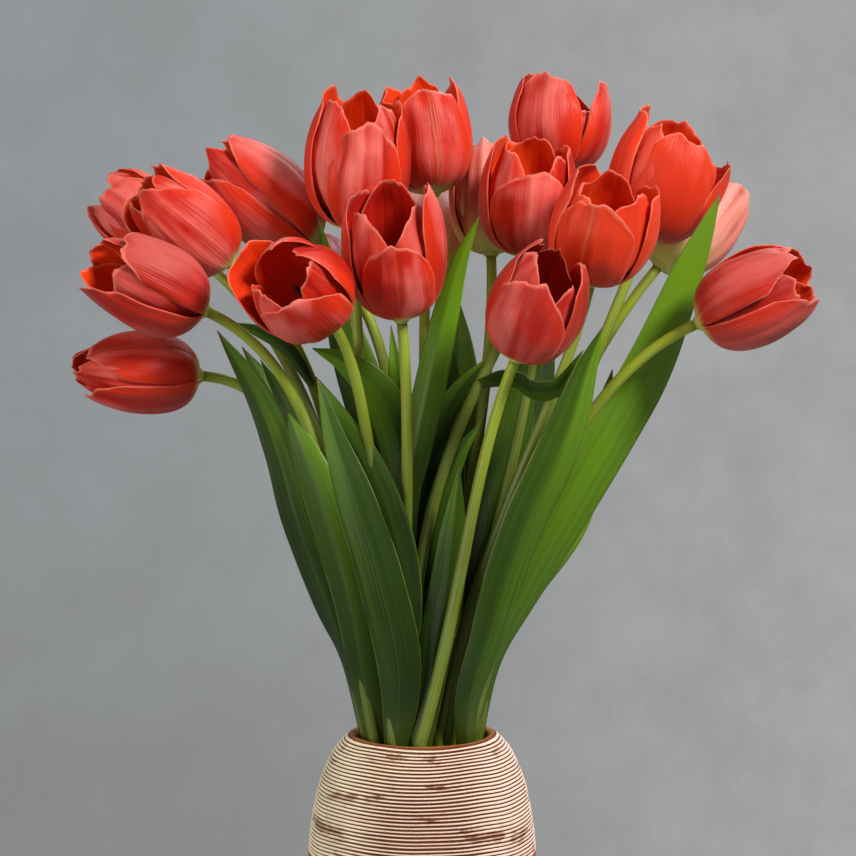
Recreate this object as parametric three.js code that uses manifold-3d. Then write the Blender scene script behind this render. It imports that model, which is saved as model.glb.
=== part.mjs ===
// A bunch of twenty coral tulips standing in a combed stoneware vase with water in it.
// Millimetres, +Z up, origin at the centre of the vase's foot, viewer's side towards -Y.
import * as THREE from 'three';
import { mergeVertices } from 'three/addons/utils/BufferGeometryUtils.js';
import Module from 'manifold-3d';

const wasm = await Module();
wasm.setup();

// ---------------------------------------------------------------- driving dimensions
const VASE = {
  lipHeight: 166,
  footRadius: 36,
  bellyRadius: 60,
  bellyHeight: 98,
  mouthRadius: 34.5,
  floor: 7,
  wall: 5,
  sides: 24,
};
const WATER_LEVEL = 112;
const CLEARANCE = 0.3;
const HOLE_CLEARANCE = 0.35;
const FUSE_TOLERANCE = 0.06;
const STEM = { footRadius: 3.4, topRadius: 2.7, sides: 5, lowerSteps: 1, upperSteps: 5, spread: 0.72 };
const PETAL = {
  thickness: 0.8,
  maxHalfAngle: 50,
  whorlGap: 3.4,
  curl: 0.12,
  lap: 7,
  widestAt: 0.48,
  clawWidth: 0.36,
  fullWidth: 1.12,
  tipWidth: 0.14,
  shoulder: [1.38, 0.1],
  cheek: [1.2, 0.72],
  tightestBend: 3.5,
};
const OUTER_FACES = { across: 3, along: 4 };
const INNER_FACES = { across: 2, along: 3 };
const BLOOM_NECK = { radius: 4.4, height: 2.5 };
const KNOB = { topRadius: 6, footRadius: 3.4, height: 7.5, sides: 6 };
const LEAF = { thickness: 0.9, across: 2, along: 5, widest: 0.42, clasp: 0.42, tipWidth: 0.05, flatten: 0.6 };

const COLOURS = {
  coral: 0xd8443c,
  salmon: 0xe8907c,
  green: 0x4d7a2c,
  slip: 0xd9c8ae,
  water: 0xbfd4d2,
};

// Each tulip: where its stem passes the vase's mouth, where its bloom sits, which way the
// bloom points, its length and radius, how wide its mouth is against that radius, and its turn
// about its own axis. Where the plain curve won't do, lean is the stem's slope at the vase's
// mouth, which it keeps for the rise, and droop is how far ahead of the bloom the stem already
// follows its direction. petals says of each petal how far it is turned from its even place,
// its length against the bloom's, how much further out than the mouth its tip leans, and its
// width.
const TULIPS = [
  { name: '01', neck: [-29, -2.5], base: [-113, -8, 354], aim: [-65, -16, 5],
    size: [68, 20], mouth: 0.35, turn: 90,
    petals: [[0, 1, 0, 1], [0, 1, -0.02, 1], [0, 0.93, 0.04, 1], [-8, 1.03, 0, 0.9], [0, 0.92, 0, 1.05],
      [0, 0.97, 0, 1]] },
  { name: '02', neck: [-24.5, -15.5], base: [-108, -32, 388], aim: [-57, -18, 28],
    size: [68, 21], mouth: 0.55, turn: 90,
    petals: [[0, 1, 0.12, 1], [0, 0.98, 0.05, 1], [-6, 1, 0.12, 1], [10, 0.84, -0.12, 0.9],
      [6, 0.86, -0.02, 1.05], [0, 0.98, -0.05, 1]] },
  { name: '03', neck: [-24, 9.5], base: [-98, 3, 411], aim: [-48, -14, 43],
    size: [66, 21], mouth: 0.5, turn: 30,
    petals: [[0, 1.04, 0.06, 1], [0, 1, 0, 1], [0, 0.98, 0.22, 1], [0, 0.95, 0.08, 1],
      [4, 0.93, -0.02, 1.1], [0, 0.97, -0.08, 1]] },
  { name: '04', neck: [-17, 20.5], base: [-122, 42, 416], aim: [-53, 10, 37],
    size: [64, 20], mouth: 0.55, turn: 30,
    petals: [[0, 1, 0.12, 1], [0, 0.96, 0.05, 1], [0, 1.03, 0.12, 1], [0, 0.92, 0, 1], [0, 0.9, 0.02, 1],
      [0, 1, 0, 1]] },
  { name: '05', neck: [-8.5, 13.5], base: [-55, 28, 420], aim: [-56, 4, 50],
    size: [77, 23], mouth: 0.5, turn: 90,
    petals: [[0, 1, 0.08, 1], [0, 0.97, 0.06, 1], [-4, 0.93, 0.08, 1.05], [0, 0.99, -0.04, 0.9],
      [4, 0.98, -0.02, 1.05], [0, 1.02, -0.04, 1]] },
  { name: '06', neck: [-14.5, -25], base: [-46, -50, 385], aim: [-29, -42, 36],
    size: [55, 24], mouth: 0.75, turn: 30, droop: 0.2,
    petals: [[0, 0.95, -0.1, 1], [0, 1.1, 0, 0.95], [0, 1.02, 0.15, 1], [0, 0.95, 0.02, 1],
      [-10, 0.86, 0.05, 1.1], [0, 0.85, -0.3, 1]] },
  { name: '07', neck: [-14, 3], base: [-34, -4, 427], aim: [3, -6, 71],
    size: [73, 25], mouth: 0.58, turn: 30,
    petals: [[-8, 1, 0.12, 0.95], [0, 1.04, -0.05, 1], [6, 1.03, 0.12, 0.95], [0, 0.98, 0, 1],
      [11, 0.84, 0.01, 0.74], [4, 0.93, -0.03, 1]] },
  { name: '08', neck: [-10, -7], base: [-10, -40, 383], aim: [-6, -10, 70],
    size: [71, 22.5], mouth: 0.64, turn: 30,
    petals: [[-28, 1, 0.15, 0.85], [4, 1.04, 0, 1], [0, 1, 0.1, 1], [-4, 0.87, 0.08, 1],
      [0, 0.66, 0.1, 0.85], [-6, 0.84, -0.15, 0.9]] },
  { name: '09', neck: [2.5, 18], base: [6, 31, 446], aim: [-8, 7, 63],
    size: [64, 22], mouth: 0.55, turn: 30,
    petals: [[-16, 1, 0.2, 0.85], [0, 1.05, 0.08, 1], [4, 1.03, 0.2, 1], [-10, 0.82, 0, 0.9],
      [12, 0.88, 0, 1.05], [0, 0.84, -0.05, 1]] },
  { name: '10', neck: [16, -0.5], base: [71, 46, 457], aim: [3, 10, 53],
    size: [56, 24], mouth: 0.64, turn: 30, lean: [60, 0], rise: 0.45,
    petals: [[-34, 0.95, 0.2, 0.85], [-16, 0.92, 0, 1], [8, 1.07, 0.08, 0.95], [6, 0.98, -0.02, 1],
      [-28, 0.94, 0, 0.95], [-14, 0.62, 0, 0.9]] },
  { name: '11', neck: [12, 10.5], base: [37, 48, 414], aim: [-2, 14, 66],
    size: [66, 20], mouth: 0.5, turn: 30, pale: true,
    petals: [[0, 0.97, 0.08, 1], [0, 1, 0, 1], [0, 1.02, 0.08, 1], [0, 0.94, 0, 1], [0, 0.95, 0.05, 1],
      [0, 0.96, -0.05, 1]] },
  { name: '12', neck: [-4, -17], base: [54, 8, 413], aim: [4, -5, 61],
    size: [65, 22.5], mouth: 0.6, turn: 30, lean: [-15, -14], rise: 0.62, droop: 0.2,
    petals: [[-10, 0.98, 0.1, 0.95], [0, 1.04, 0, 1], [6, 1.02, 0.12, 0.95], [-8, 0.96, 0.03, 1],
      [0, 0.74, 0.08, 1.05], [8, 0.9, -0.08, 0.95]] },
  { name: '13', neck: [9, -14.5], base: [85, -27, 401], aim: [12, -18, 56],
    size: [60, 24], mouth: 0.63, turn: 30,
    petals: [[-16, 1, 0.16, 0.9], [0, 0.98, 0.03, 1], [0, 1.04, 0.1, 0.95], [-6, 0.88, 0, 0.95],
      [-22, 0.85, 0.05, 1.05], [-12, 0.93, 0.02, 1]] },
  { name: '14', neck: [28.7, -4], base: [114, 16, 421], aim: [24, -2, 68],
    size: [71, 26], mouth: 0.6, turn: 30,
    petals: [[-21, 0.84, 0.3, 0.82], [0, 0.99, 0.1, 1], [23, 1.02, 0.16, 0.95], [4, 0.86, 0, 1],
      [8, 0.9, 0.02, 1.05], [-6, 0.8, 0, 0.9]] },
  { name: '15', neck: [24.5, 14], base: [126, 52, 408], aim: [38, 18, 44],
    size: [62, 21], mouth: 0.7, turn: 60, pale: true },
  { name: '16', neck: [23.5, -17], base: [138, -35, 382], aim: [60, -12, 29],
    size: [65, 22], mouth: 0.5, turn: 90,
    petals: [[0, 1, 0.15, 1], [0, 1, 0.05, 1], [-4, 0.92, 0, 1.05], [6, 0.9, -0.05, 0.9],
      [4, 0.97, 0.08, 1.05], [0, 0.95, 0, 1]] },
  { name: '17', neck: [-1, -29], base: [46, -60, 365], aim: [22, -18, 58],
    size: [64, 23], mouth: 0.54, turn: 30, lean: [56, -20],
    petals: [[-22, 0.97, 0.12, 0.9], [0, 1, -0.03, 1], [6, 1, -0.02, 1.05], [0, 0.93, -0.03, 1],
      [-18, 0.78, 0.05, 1.05], [0, 0.78, -0.1, 0.9]] },
  { name: '18', neck: [4.5, 29], base: [2, 70, 404], aim: [2, 40, 34],
    size: [60, 21], mouth: 0.6, turn: 20, pale: true },
  { name: '19', neck: [-7, 27], base: [-45, 60, 384], aim: [-16, 48, 28],
    size: [60, 21], mouth: 0.6, turn: 70 },
  { name: '20', neck: [15.5, 23.5], base: [60, 66, 376], aim: [18, 46, 26],
    size: [60, 21], mouth: 0.6, turn: 40 },
];

// Each leaf: its tulip, the height where it leaves that stem, the points its midrib runs
// through, its full width and where it is widest, the way its upper face looks, how far its
// margins fold up, how much they wave, and how widely its foot clasps the stem.
const LEAVES = [
  { on: '01', from: 150, width: 25, widest: 0.55, face: [0.5, 0.85, 0], fold: 0.45, wave: 0.12, clasp: 0.22,
    through: [[-38, -7, 203], [-50, -9, 237], [-65, -10, 280], [-75, -11, 316], [-87, -13, 347],
      [-105, -15, 378]] },
  { on: '02', from: 160, width: 23, face: [0.3, 0.9, 0], fold: 0.35, clasp: 0.5,
    through: [[-36, -24, 235], [-48, -25, 281], [-60, -22, 315], [-69, -18, 337]] },
  { on: '06', from: 152, width: 24, widest: 0.3, face: [0.15, 1, 0], fold: 0.3, clasp: 0.42,
    through: [[-12, -36, 205], [-22, -41, 254], [-34, -41, 294], [-44, -38, 324], [-53, -34, 355]] },
  { on: '06', from: 190, width: 21, face: [0.2, 1, 0], fold: 0.2,
    through: [[-9, -31, 231], [-15, -31, 272], [-28, -31, 308], [-42, -29, 333], [-54, -25, 355]] },
  { on: '07', from: 205, width: 23, face: [0.2, 1, 0.3], fold: 0.25,
    through: [[-11, -3, 258], [-10, -4, 306], [-20, -7, 340], [-38, -11, 360], [-56, -16, 369]] },
  { on: '08', from: 205, width: 17, face: [0.3, 1, 0], fold: 0.4,
    through: [[-9, -15, 285], [-4, -16, 316], [4, -18, 353], [11, -20, 384], [19, -20, 413],
      [29, -20, 436]] },
  { on: '05', from: 200, width: 16, face: [0.2, 1, 0], fold: 0.3,
    through: [[-14, 8, 256], [-27, 12, 314], [-40, 12, 361], [-48, 10, 403], [-54, 8, 437]] },
  { on: '03', from: 345, width: 8, face: [0, 1, 0.5], fold: 0.3,
    through: [[-68, -8, 366], [-84, -12, 377], [-100, -15, 382]] },
  { on: '14', from: 152, width: 29, widest: 0.6, face: [-0.4, 0.9, 0], fold: 0.3, clasp: 0.18,
    through: [[35, -9, 202], [51, -13, 238], [74, -15, 280], [101, -14, 327], [120, -12, 363],
      [138, -10, 409], [153, -8, 448]] },
  { on: '16', from: 152, width: 24, widest: 0.55, face: [-0.3, 0.9, 0], fold: 0.35, clasp: 0.36,
    through: [[24.6, -30, 189], [34.7, -35, 223], [43, -38, 253], [54, -41, 284], [66, -42, 310],
      [76, -43, 336], [83, -44, 360], [91, -45, 382]] },
  { on: '15', from: 155, width: 21, widest: 0.6, face: [-0.3, 0.9, 0], fold: 0.25, wave: 0.15, clasp: 0.3,
    through: [[36, 8, 205], [54, 9, 238], [77, 8, 274], [91, 12, 317], [100, 16, 356]] },
  { on: '12', from: 349, width: 15, face: [0, 0.8, 0.6], fold: 0.25,
    through: [[45, -14, 352], [56, -25, 347], [70, -30, 350], [82, -30, 369]] },
  { on: '11', from: 165, width: 22, face: [-0.1, 1, 0], fold: 0.25, clasp: 0.5,
    through: [[28, 9, 213], [38, 14, 265], [49, 19, 302], [60, 28, 338], [65, 37, 376], [65, 42, 397]] },
  { on: '17', from: 158, width: 19, widest: 0.4, face: [0, 1, 0], fold: 0.2, clasp: 0.5,
    through: [[6.5, -29, 215], [12, -28, 241], [16, -29, 277], [19, -31, 309]] },
  { on: '12', from: 215, width: 12, face: [0, 1, 0], fold: 0.25,
    through: [[4, -12, 259], [10, -10, 290], [19, -9, 313], [30, -8, 330]] },
  { on: '09', from: 215, width: 14, face: [0, 1, 0], fold: 0.3,
    through: [[-1, 8, 278], [5, 3, 313], [16, -2, 342], [34, -5, 364]] },
  { on: '11', from: 230, width: 16, face: [0, 1, 0], fold: 0.3,
    through: [[15, 26, 255], [15, 35, 302], [16, 41, 339], [14, 45, 378]] },
  { on: '07', from: 190, width: 18, face: [0.1, 1, 0], fold: 0.3,
    through: [[-9, 2, 236], [-10, 0, 289], [-12, -2, 336], [-16, -4, 380]] },
  { on: '04', from: 158, width: 24, face: [0.5, -0.8, 0], fold: 0.3, clasp: 0.5,
    through: [[-34, 34, 225], [-56, 46, 280], [-76, 58, 330], [-98, 66, 365]] },
  { on: '19', from: 155, width: 25, face: [0.2, -1, 0], fold: 0.3, clasp: 0.5,
    through: [[-14, 42, 215], [-22, 58, 270], [-30, 74, 320], [-44, 92, 352]] },
  { on: '18', from: 158, width: 28, widest: 0.66, face: [-0.1, -1, 0], fold: 0.25, wave: 0.1, clasp: 0.2,
    through: [[8, 48, 225], [13, 60, 280], [19, 72, 335], [20, 88, 390]] },
  { on: '20', from: 155, width: 28, face: [-0.4, -0.9, 0], fold: 0.3, clasp: 0.5,
    through: [[30, 38, 215], [46, 52, 265], [62, 64, 310], [80, 76, 350]] },
  { on: '04', from: 215, width: 18, face: [0.3, 1, 0], fold: 0.25,
    through: [[-40, 22, 262], [-54, 25, 296], [-68, 29, 328], [-86, 34, 360]] },
  { on: '10', from: 200, width: 24, face: [0, 1, 0], fold: 0.25,
    through: [[24, 4, 235], [35, 7, 275], [46, 13, 320], [56, 22, 362], [62, 30, 395]] },
  { on: '19', from: 185, width: 24, face: [0.2, 1, 0], fold: 0.25,
    through: [[-12, 32, 225], [-16, 37, 265], [-20, 41, 305], [-27, 45, 345], [-34, 48, 380]] },
];

// The petals of a bloom that lists none of its own.
const EVEN_PETALS = [
  [0, 1, 0.1, 1], [0, 0.98, 0, 1], [0, 0.97, 0.05, 1], [0, 1, -0.05, 1], [0, 1.02, 0.12, 1], [0, 0.96, 0, 1],
];

// ---------------------------------------------------------------- small helpers
const v3 = ([x, y, z]) => new THREE.Vector3(x, y, z);
const degrees = THREE.MathUtils.degToRad;

function unit(x, y, z) {
  return new THREE.Vector3(x, y, z).normalize();
}

// Turns a closed geometry into a solid: only its positions are kept, shared corners once.
function toSolid(geometry) {
  const bare = geometry.clone();
  bare.deleteAttribute('normal');
  bare.deleteAttribute('uv');
  const merged = mergeVertices(bare, 1e-4);
  return new wasm.Manifold(new wasm.Mesh({
    numProp: 3,
    vertProperties: new Float32Array(merged.attributes.position.array),
    triVerts: new Uint32Array(merged.index.array),
  }));
}

// Turns a solid back into a geometry, without loose scraps or sealed hollows.
function toGeometry(solid) {
  const bodies = solid.decompose().sort((a, b) => b.volume() - a.volume());
  const mesh = bodies[0].getMesh();
  const geometry = new THREE.BufferGeometry();
  geometry.setAttribute('position', new THREE.BufferAttribute(new Float32Array(mesh.vertProperties), 3));
  geometry.setIndex(new THREE.BufferAttribute(new Uint32Array(mesh.triVerts), 1));
  geometry.computeVertexNormals();
  return geometry;
}

function fuse(geometries) {
  const whole = geometries.map(toSolid).reduce((sum, piece) => sum.add(piece));
  return toGeometry(whole.simplify(FUSE_TOLERANCE));
}

// A thin blade over a surface point(u, t), with u from -1 to 1 across and t from 0 to 1 along.
// Both faces are split into the same triangles, so the blade never crosses itself.
function blade(point, across, along, thickness) {
  const sheet = new THREE.PlaneGeometry(2, 1, across, along);
  const grid = sheet.attributes.position;
  const count = grid.count;
  const corners = new Float32Array(count * 6);
  const step = 1e-3;
  for (let i = 0; i < count; i += 1) {
    const u = grid.getX(i);
    const t = grid.getY(i) + 0.5;
    const middle = point(u, t);
    const sideways = point(u + step, t).sub(point(u - step, t));
    const forwards = point(u, Math.min(t + step, 1)).sub(point(u, Math.max(t - step, 0)));
    const lift = sideways.cross(forwards).normalize().multiplyScalar(thickness / 2);
    middle.clone().add(lift).toArray(corners, i * 3);
    middle.clone().sub(lift).toArray(corners, (count + i) * 3);
  }
  const faces = [];
  const index = sheet.index.array;
  for (let i = 0; i < index.length; i += 3) {
    const [a, b, c] = [index[i], index[i + 1], index[i + 2]];
    faces.push(a, b, c, count + a, count + c, count + b);
  }
  for (const [a, b] of rimEdges(across, along)) {
    faces.push(a, count + a, b, b, count + a, count + b);
  }
  const geometry = new THREE.BufferGeometry();
  geometry.setAttribute('position', new THREE.BufferAttribute(corners, 3));
  geometry.setIndex(faces);
  return geometry;
}

// The edges round a plane's grid, in the order that walls its two faces together.
function rimEdges(across, along) {
  const row = across + 1;
  const loop = [];
  for (let i = 0; i < along; i += 1) loop.push(i * row);
  for (let i = 0; i < across; i += 1) loop.push(along * row + i);
  for (let i = along; i > 0; i -= 1) loop.push(i * row + across);
  for (let i = across; i > 0; i -= 1) loop.push(i);
  return loop.map((corner, i) => [corner, loop[(i + 1) % loop.length]]);
}

// A round tapered rod bent along a list of rings: [centre, tangent, radius].
function rod(rings, sides) {
  const straight = new THREE.CylinderGeometry(1, 1, rings.length - 1, sides, rings.length - 1);
  const place = straight.attributes.position;
  const half = (rings.length - 1) / 2;
  for (let i = 0; i < place.count; i += 1) {
    const [centre, tangent, radius] = rings[Math.round(place.getY(i) + half)];
    const side = new THREE.Vector3(0, 1, 0).cross(tangent).normalize();
    const other = tangent.clone().cross(side);
    const spot = centre.clone()
      .addScaledVector(side, place.getZ(i) * radius)
      .addScaledVector(other, place.getX(i) * radius);
    place.setXYZ(i, spot.x, spot.y, spot.z);
  }
  return straight;
}

// ---------------------------------------------------------------- vase and water
// Outline of the body from the foot's edge up to the shoulder, as radius and height.
function vaseOutline() {
  return new THREE.SplineCurve([
    new THREE.Vector2(VASE.footRadius + 1, 3),
    new THREE.Vector2(45, 26),
    new THREE.Vector2(55, 60),
    new THREE.Vector2(VASE.bellyRadius, VASE.bellyHeight),
    new THREE.Vector2(56, 133),
    new THREE.Vector2(48.6, 154),
    new THREE.Vector2(41, 164),
  ]);
}

// Inner wall from the floor's edge up to the mouth, one wall thickness inside the outline.
function innerWall(inset) {
  return [
    new THREE.Vector2(34 - inset, VASE.floor + inset),
    new THREE.Vector2(45 - inset, 40),
    new THREE.Vector2(VASE.bellyRadius - VASE.wall - inset, VASE.bellyHeight - 10),
    new THREE.Vector2(53 - inset, WATER_LEVEL),
    new THREE.Vector2(46 - inset, 145),
  ];
}

function lathe(outline) {
  const turned = new THREE.LatheGeometry(outline, VASE.sides);
  turned.rotateX(Math.PI / 2);
  return toGeometry(toSolid(turned));
}

function vaseGeometry() {
  const top = VASE.lipHeight;
  const outline = [
    new THREE.Vector2(0, 0),
    new THREE.Vector2(VASE.footRadius, 0),
    ...vaseOutline().getPoints(9),
    new THREE.Vector2(38.6, 163.6),
    new THREE.Vector2(38.6, top - 1),
    new THREE.Vector2(37.4, top),
    new THREE.Vector2(35.4, top),
    new THREE.Vector2(VASE.mouthRadius, top - 1),
    new THREE.Vector2(VASE.mouthRadius, 161),
    ...innerWall(0).reverse(),
    new THREE.Vector2(0, VASE.floor),
  ];
  return lathe(outline);
}

function waterGeometry(stems) {
  const wall = innerWall(CLEARANCE).filter((spot) => spot.y <= WATER_LEVEL);
  const outline = [
    new THREE.Vector2(0, VASE.floor + CLEARANCE),
    ...wall,
    new THREE.Vector2(0, WATER_LEVEL),
  ];
  const body = toSolid(lathe(outline));
  const holes = stems.map((stem) => toSolid(stemRod(stem, HOLE_CLEARANCE, STEM.lowerSteps)));
  return toGeometry(holes.reduce((left, hole) => left.subtract(hole), body));
}

// ---------------------------------------------------------------- stems
// A stem stands on the vase's floor, leans past the mouth and bends over into its bloom.
function stemCurves(tulip) {
  const [x, y] = tulip.neck;
  const base = v3(tulip.base);
  const neck = new THREE.Vector3(x, y, VASE.lipHeight);
  const foot = new THREE.Vector3(x * STEM.spread, y * STEM.spread, VASE.floor + 2 * CLEARANCE);
  const aim = v3(tulip.aim).normalize();
  const away = base.clone().sub(neck);
  const [leanX, leanY] = tulip.lean ?? [away.x * 0.5, away.y * 0.5];
  const lean = unit(leanX, leanY, away.z);
  const reach = away.length();
  const end = base.clone().addScaledVector(aim, -CLEARANCE);
  const lower = new THREE.LineCurve3(foot, neck);
  const upper = new THREE.CubicBezierCurve3(
    neck,
    neck.clone().addScaledVector(lean, reach * (tulip.rise ?? 0.42)),
    end.clone().addScaledVector(aim, -reach * (tulip.droop ?? 0.3)),
    end,
  );
  return { lower, upper };
}

// Rings along a stem, wider by extra; only the lower part when steps are the lower ones.
function stemRings(tulip, extra, lowerOnly) {
  const { lower, upper } = stemCurves(tulip);
  const rings = [];
  for (let i = 0; i <= STEM.lowerSteps; i += 1) {
    const t = i / STEM.lowerSteps;
    rings.push([lower.getPoint(t), lower.getTangent(t), STEM.footRadius + extra]);
  }
  if (lowerOnly) return rings;
  for (let i = 1; i <= STEM.upperSteps; i += 1) {
    const t = i / STEM.upperSteps;
    const radius = THREE.MathUtils.lerp(STEM.footRadius, STEM.topRadius, t);
    rings.push([upper.getPoint(t), upper.getTangent(t), radius + extra]);
  }
  return rings;
}

function stemRod(tulip, extra, lowerOnly) {
  const rings = stemRings(tulip, extra, lowerOnly);
  if (lowerOnly) {
    const [foot, tangent, radius] = rings[0];
    rings[0] = [foot.clone().addScaledVector(tangent, -2), tangent, radius];
  }
  return rod(rings, STEM.sides);
}

// ---------------------------------------------------------------- leaves
// Share of a leaf's full width at t: a clasping foot, its widest place, then a long point.
function leafWidth(t, widest, clasp) {
  const rise = clasp + (1 - clasp) * Math.sin(Math.min(t / widest, 1) * Math.PI / 2);
  const fall = t < widest ? 1 : 1 - ((t - widest) / (1 - widest)) ** 2.1;
  return Math.max(rise * fall, LEAF.tipWidth);
}

function leafSurface(leaf, tulip) {
  const points = [stemAtHeight(tulip, leaf.from), ...leaf.through.map(v3)];
  const midrib = new THREE.CatmullRomCurve3(points, false, 'catmullrom', 0.5);
  const face = v3(leaf.face).normalize();
  const half = leaf.width / 2;
  const widest = leaf.widest ?? LEAF.widest;
  const clasp = leaf.clasp ?? LEAF.clasp;
  return (u, t) => {
    const centre = midrib.getPoint(t);
    const tangent = midrib.getTangent(t);
    const side = tangent.clone().cross(face).normalize();
    const lift = side.clone().cross(tangent);
    const reach = half * leafWidth(t, widest, clasp);
    const fold = leaf.fold * (1 - LEAF.flatten * t) * reach * u * u;
    const wave = (leaf.wave ?? 0) * reach * u * Math.abs(u) * Math.sin(3 * Math.PI * t + 1);
    return centre.addScaledVector(side, reach * u).addScaledVector(lift, fold + wave);
  };
}

// The point of a stem at a given height, in the vase or above it.
function stemAtHeight(tulip, height) {
  const { lower, upper } = stemCurves(tulip);
  if (height < VASE.lipHeight) {
    return lower.getPoint((height - lower.v1.z) / (lower.v2.z - lower.v1.z));
  }
  let low = 0;
  let high = 1;
  for (let i = 0; i < 20; i += 1) {
    const middle = (low + high) / 2;
    if (upper.getPoint(middle).z < height) low = middle;
    else high = middle;
  }
  return upper.getPoint(low);
}

function leafyStemGeometry(tulip) {
  const leaves = LEAVES.filter((leaf) => leaf.on === tulip.name);
  const surfaces = leaves.map((leaf) => leafSurface(leaf, tulip));
  const blades = surfaces.map((surface) => blade(surface, LEAF.across, LEAF.along, LEAF.thickness));
  return fuse([stemRod(tulip, 0, false), ...blades]);
}

// ---------------------------------------------------------------- blooms
// Half-width of a petal at t, as a share of the bloom's radius: narrow claw, broad, round tip.
function petalWidth(t) {
  const { widestAt, clawWidth, fullWidth, tipWidth } = PETAL;
  const rise = THREE.MathUtils.lerp(clawWidth, fullWidth, Math.sin(Math.min(t / widestAt, 1) * Math.PI / 2));
  const fall = t < widestAt ? 1 : (1 - ((t - widestAt) / (1 - widestAt)) ** 2.5) ** 0.64;
  return Math.max(rise * fall, tipWidth);
}

function bezier(a, b, c, d, t) {
  const s = 1 - t;
  return s * s * s * a + 3 * s * s * t * b + 3 * s * t * t * c + t * t * t * d;
}

// One petal's surface in the bloom's own frame, base at the origin, axis along +Z. The three
// even petals are the outer whorl, and the three odd ones stand inside their gaps.
function petalSurface(tulip, number) {
  const [length, radius] = tulip.size;
  const [shift, stretch, openOut, broad] = (tulip.petals ?? EVEN_PETALS)[number];
  const inset = number % 2 ? PETAL.whorlGap : 0;
  const turn = degrees(tulip.turn + number * 60 + shift);
  const mouth = radius * tulip.mouth;
  const limit = degrees(PETAL.maxHalfAngle);
  const [shoulderOut, shoulderUp] = PETAL.shoulder;
  const [cheekOut, cheekUp] = PETAL.cheek;
  const foot = BLOOM_NECK.height + inset;
  return (u, t) => {
    const along = 1 - (1 - t) ** 1.25;
    const reach = along * stretch;
    const lean = (radius * openOut + PETAL.lap * u * (1 - along)) * along ** 2;
    const profile = bezier(BLOOM_NECK.radius, radius * shoulderOut, radius * cheekOut, mouth, reach);
    const out = profile - inset + lean;
    const height = bezier(foot, length * shoulderUp + inset, length * cheekUp, length, reach);
    const bend = Math.max(out, PETAL.tightestBend) * (1 - PETAL.curl * along);
    const angle = Math.min(radius * broad * petalWidth(along) / bend, limit) * u;
    return new THREE.Vector3(
      (out - bend) * Math.cos(turn) + bend * Math.cos(turn + angle),
      (out - bend) * Math.sin(turn) + bend * Math.sin(turn + angle),
      height,
    );
  };
}

function bloomGeometry(tulip) {
  const parts = [];
  for (let number = 0; number < 6; number += 1) {
    const { across, along } = number % 2 ? INNER_FACES : OUTER_FACES;
    parts.push(blade(petalSurface(tulip, number), across, along, PETAL.thickness));
  }
  const { topRadius, footRadius, height, sides } = KNOB;
  const knob = new THREE.CylinderGeometry(topRadius, footRadius, height, sides, 1);
  knob.rotateX(Math.PI / 2);
  knob.translate(0, 0, height / 2);
  parts.push(knob);
  const bloom = fuse(parts);
  const up = new THREE.Vector3(0, 0, 1);
  bloom.applyQuaternion(new THREE.Quaternion().setFromUnitVectors(up, v3(tulip.aim).normalize()));
  bloom.translate(...tulip.base);
  return bloom;
}

// ---------------------------------------------------------------- the bunch in its vase
const MATERIALS = {
  coral: new THREE.MeshStandardMaterial({ color: COLOURS.coral, roughness: 0.45, metalness: 0 }),
  salmon: new THREE.MeshStandardMaterial({ color: COLOURS.salmon, roughness: 0.45, metalness: 0 }),
  green: new THREE.MeshStandardMaterial({ color: COLOURS.green, roughness: 0.5, metalness: 0 }),
  slip: new THREE.MeshStandardMaterial({ color: COLOURS.slip, roughness: 0.8, metalness: 0 }),
  water: new THREE.MeshStandardMaterial({ color: COLOURS.water, roughness: 0.05, metalness: 0 }),
};

const bunch = new THREE.Group();

function add(name, geometry, material) {
  const mesh = new THREE.Mesh(geometry, material);
  mesh.name = name;
  bunch.add(mesh);
}

add('vase', vaseGeometry(), MATERIALS.slip);
add('water', waterGeometry(TULIPS), MATERIALS.water);
for (const tulip of TULIPS) {
  add(`stem_${tulip.name}`, leafyStemGeometry(tulip), MATERIALS.green);
  add(`bloom_${tulip.name}`, bloomGeometry(tulip), tulip.pale ? MATERIALS.salmon : MATERIALS.coral);
}

export default bunch;
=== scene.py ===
"""Twenty coral tulips standing in a combed stoneware vase, modelled round their CAD frame.

The tables and formulas below are in millimetres and repeat the frame's driving dimensions.
MM turns them into metres once, where a finished piece is put in its place.
"""

import math

import bmesh
import bpy
from mathutils import Matrix, Quaternion, Vector, noise


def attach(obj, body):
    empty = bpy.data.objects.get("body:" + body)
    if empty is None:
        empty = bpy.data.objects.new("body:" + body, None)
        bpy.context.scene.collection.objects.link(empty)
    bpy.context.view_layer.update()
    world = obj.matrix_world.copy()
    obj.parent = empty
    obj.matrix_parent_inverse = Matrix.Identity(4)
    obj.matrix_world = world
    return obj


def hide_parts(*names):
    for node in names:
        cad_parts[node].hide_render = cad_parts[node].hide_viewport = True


bl_info = {
    "name": "Tulips in a Combed Vase",
    "version": (1, 0, 0),
    "blender": (4, 5, 0),
    "location": "View3D > Sidebar > Tulips",
    "description": "Builds a bunch of coral tulips standing in a combed stoneware vase",
    "category": "Add Mesh",
}

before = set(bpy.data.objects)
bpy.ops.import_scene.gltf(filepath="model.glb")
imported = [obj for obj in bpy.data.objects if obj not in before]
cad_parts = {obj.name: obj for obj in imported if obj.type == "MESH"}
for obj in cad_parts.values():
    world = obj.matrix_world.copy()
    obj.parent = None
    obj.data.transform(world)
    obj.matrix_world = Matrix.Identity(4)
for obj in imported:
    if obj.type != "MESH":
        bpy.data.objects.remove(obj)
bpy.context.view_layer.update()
MM = 0.001
UP = Vector((0.0, 0.0, 1.0))

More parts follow.
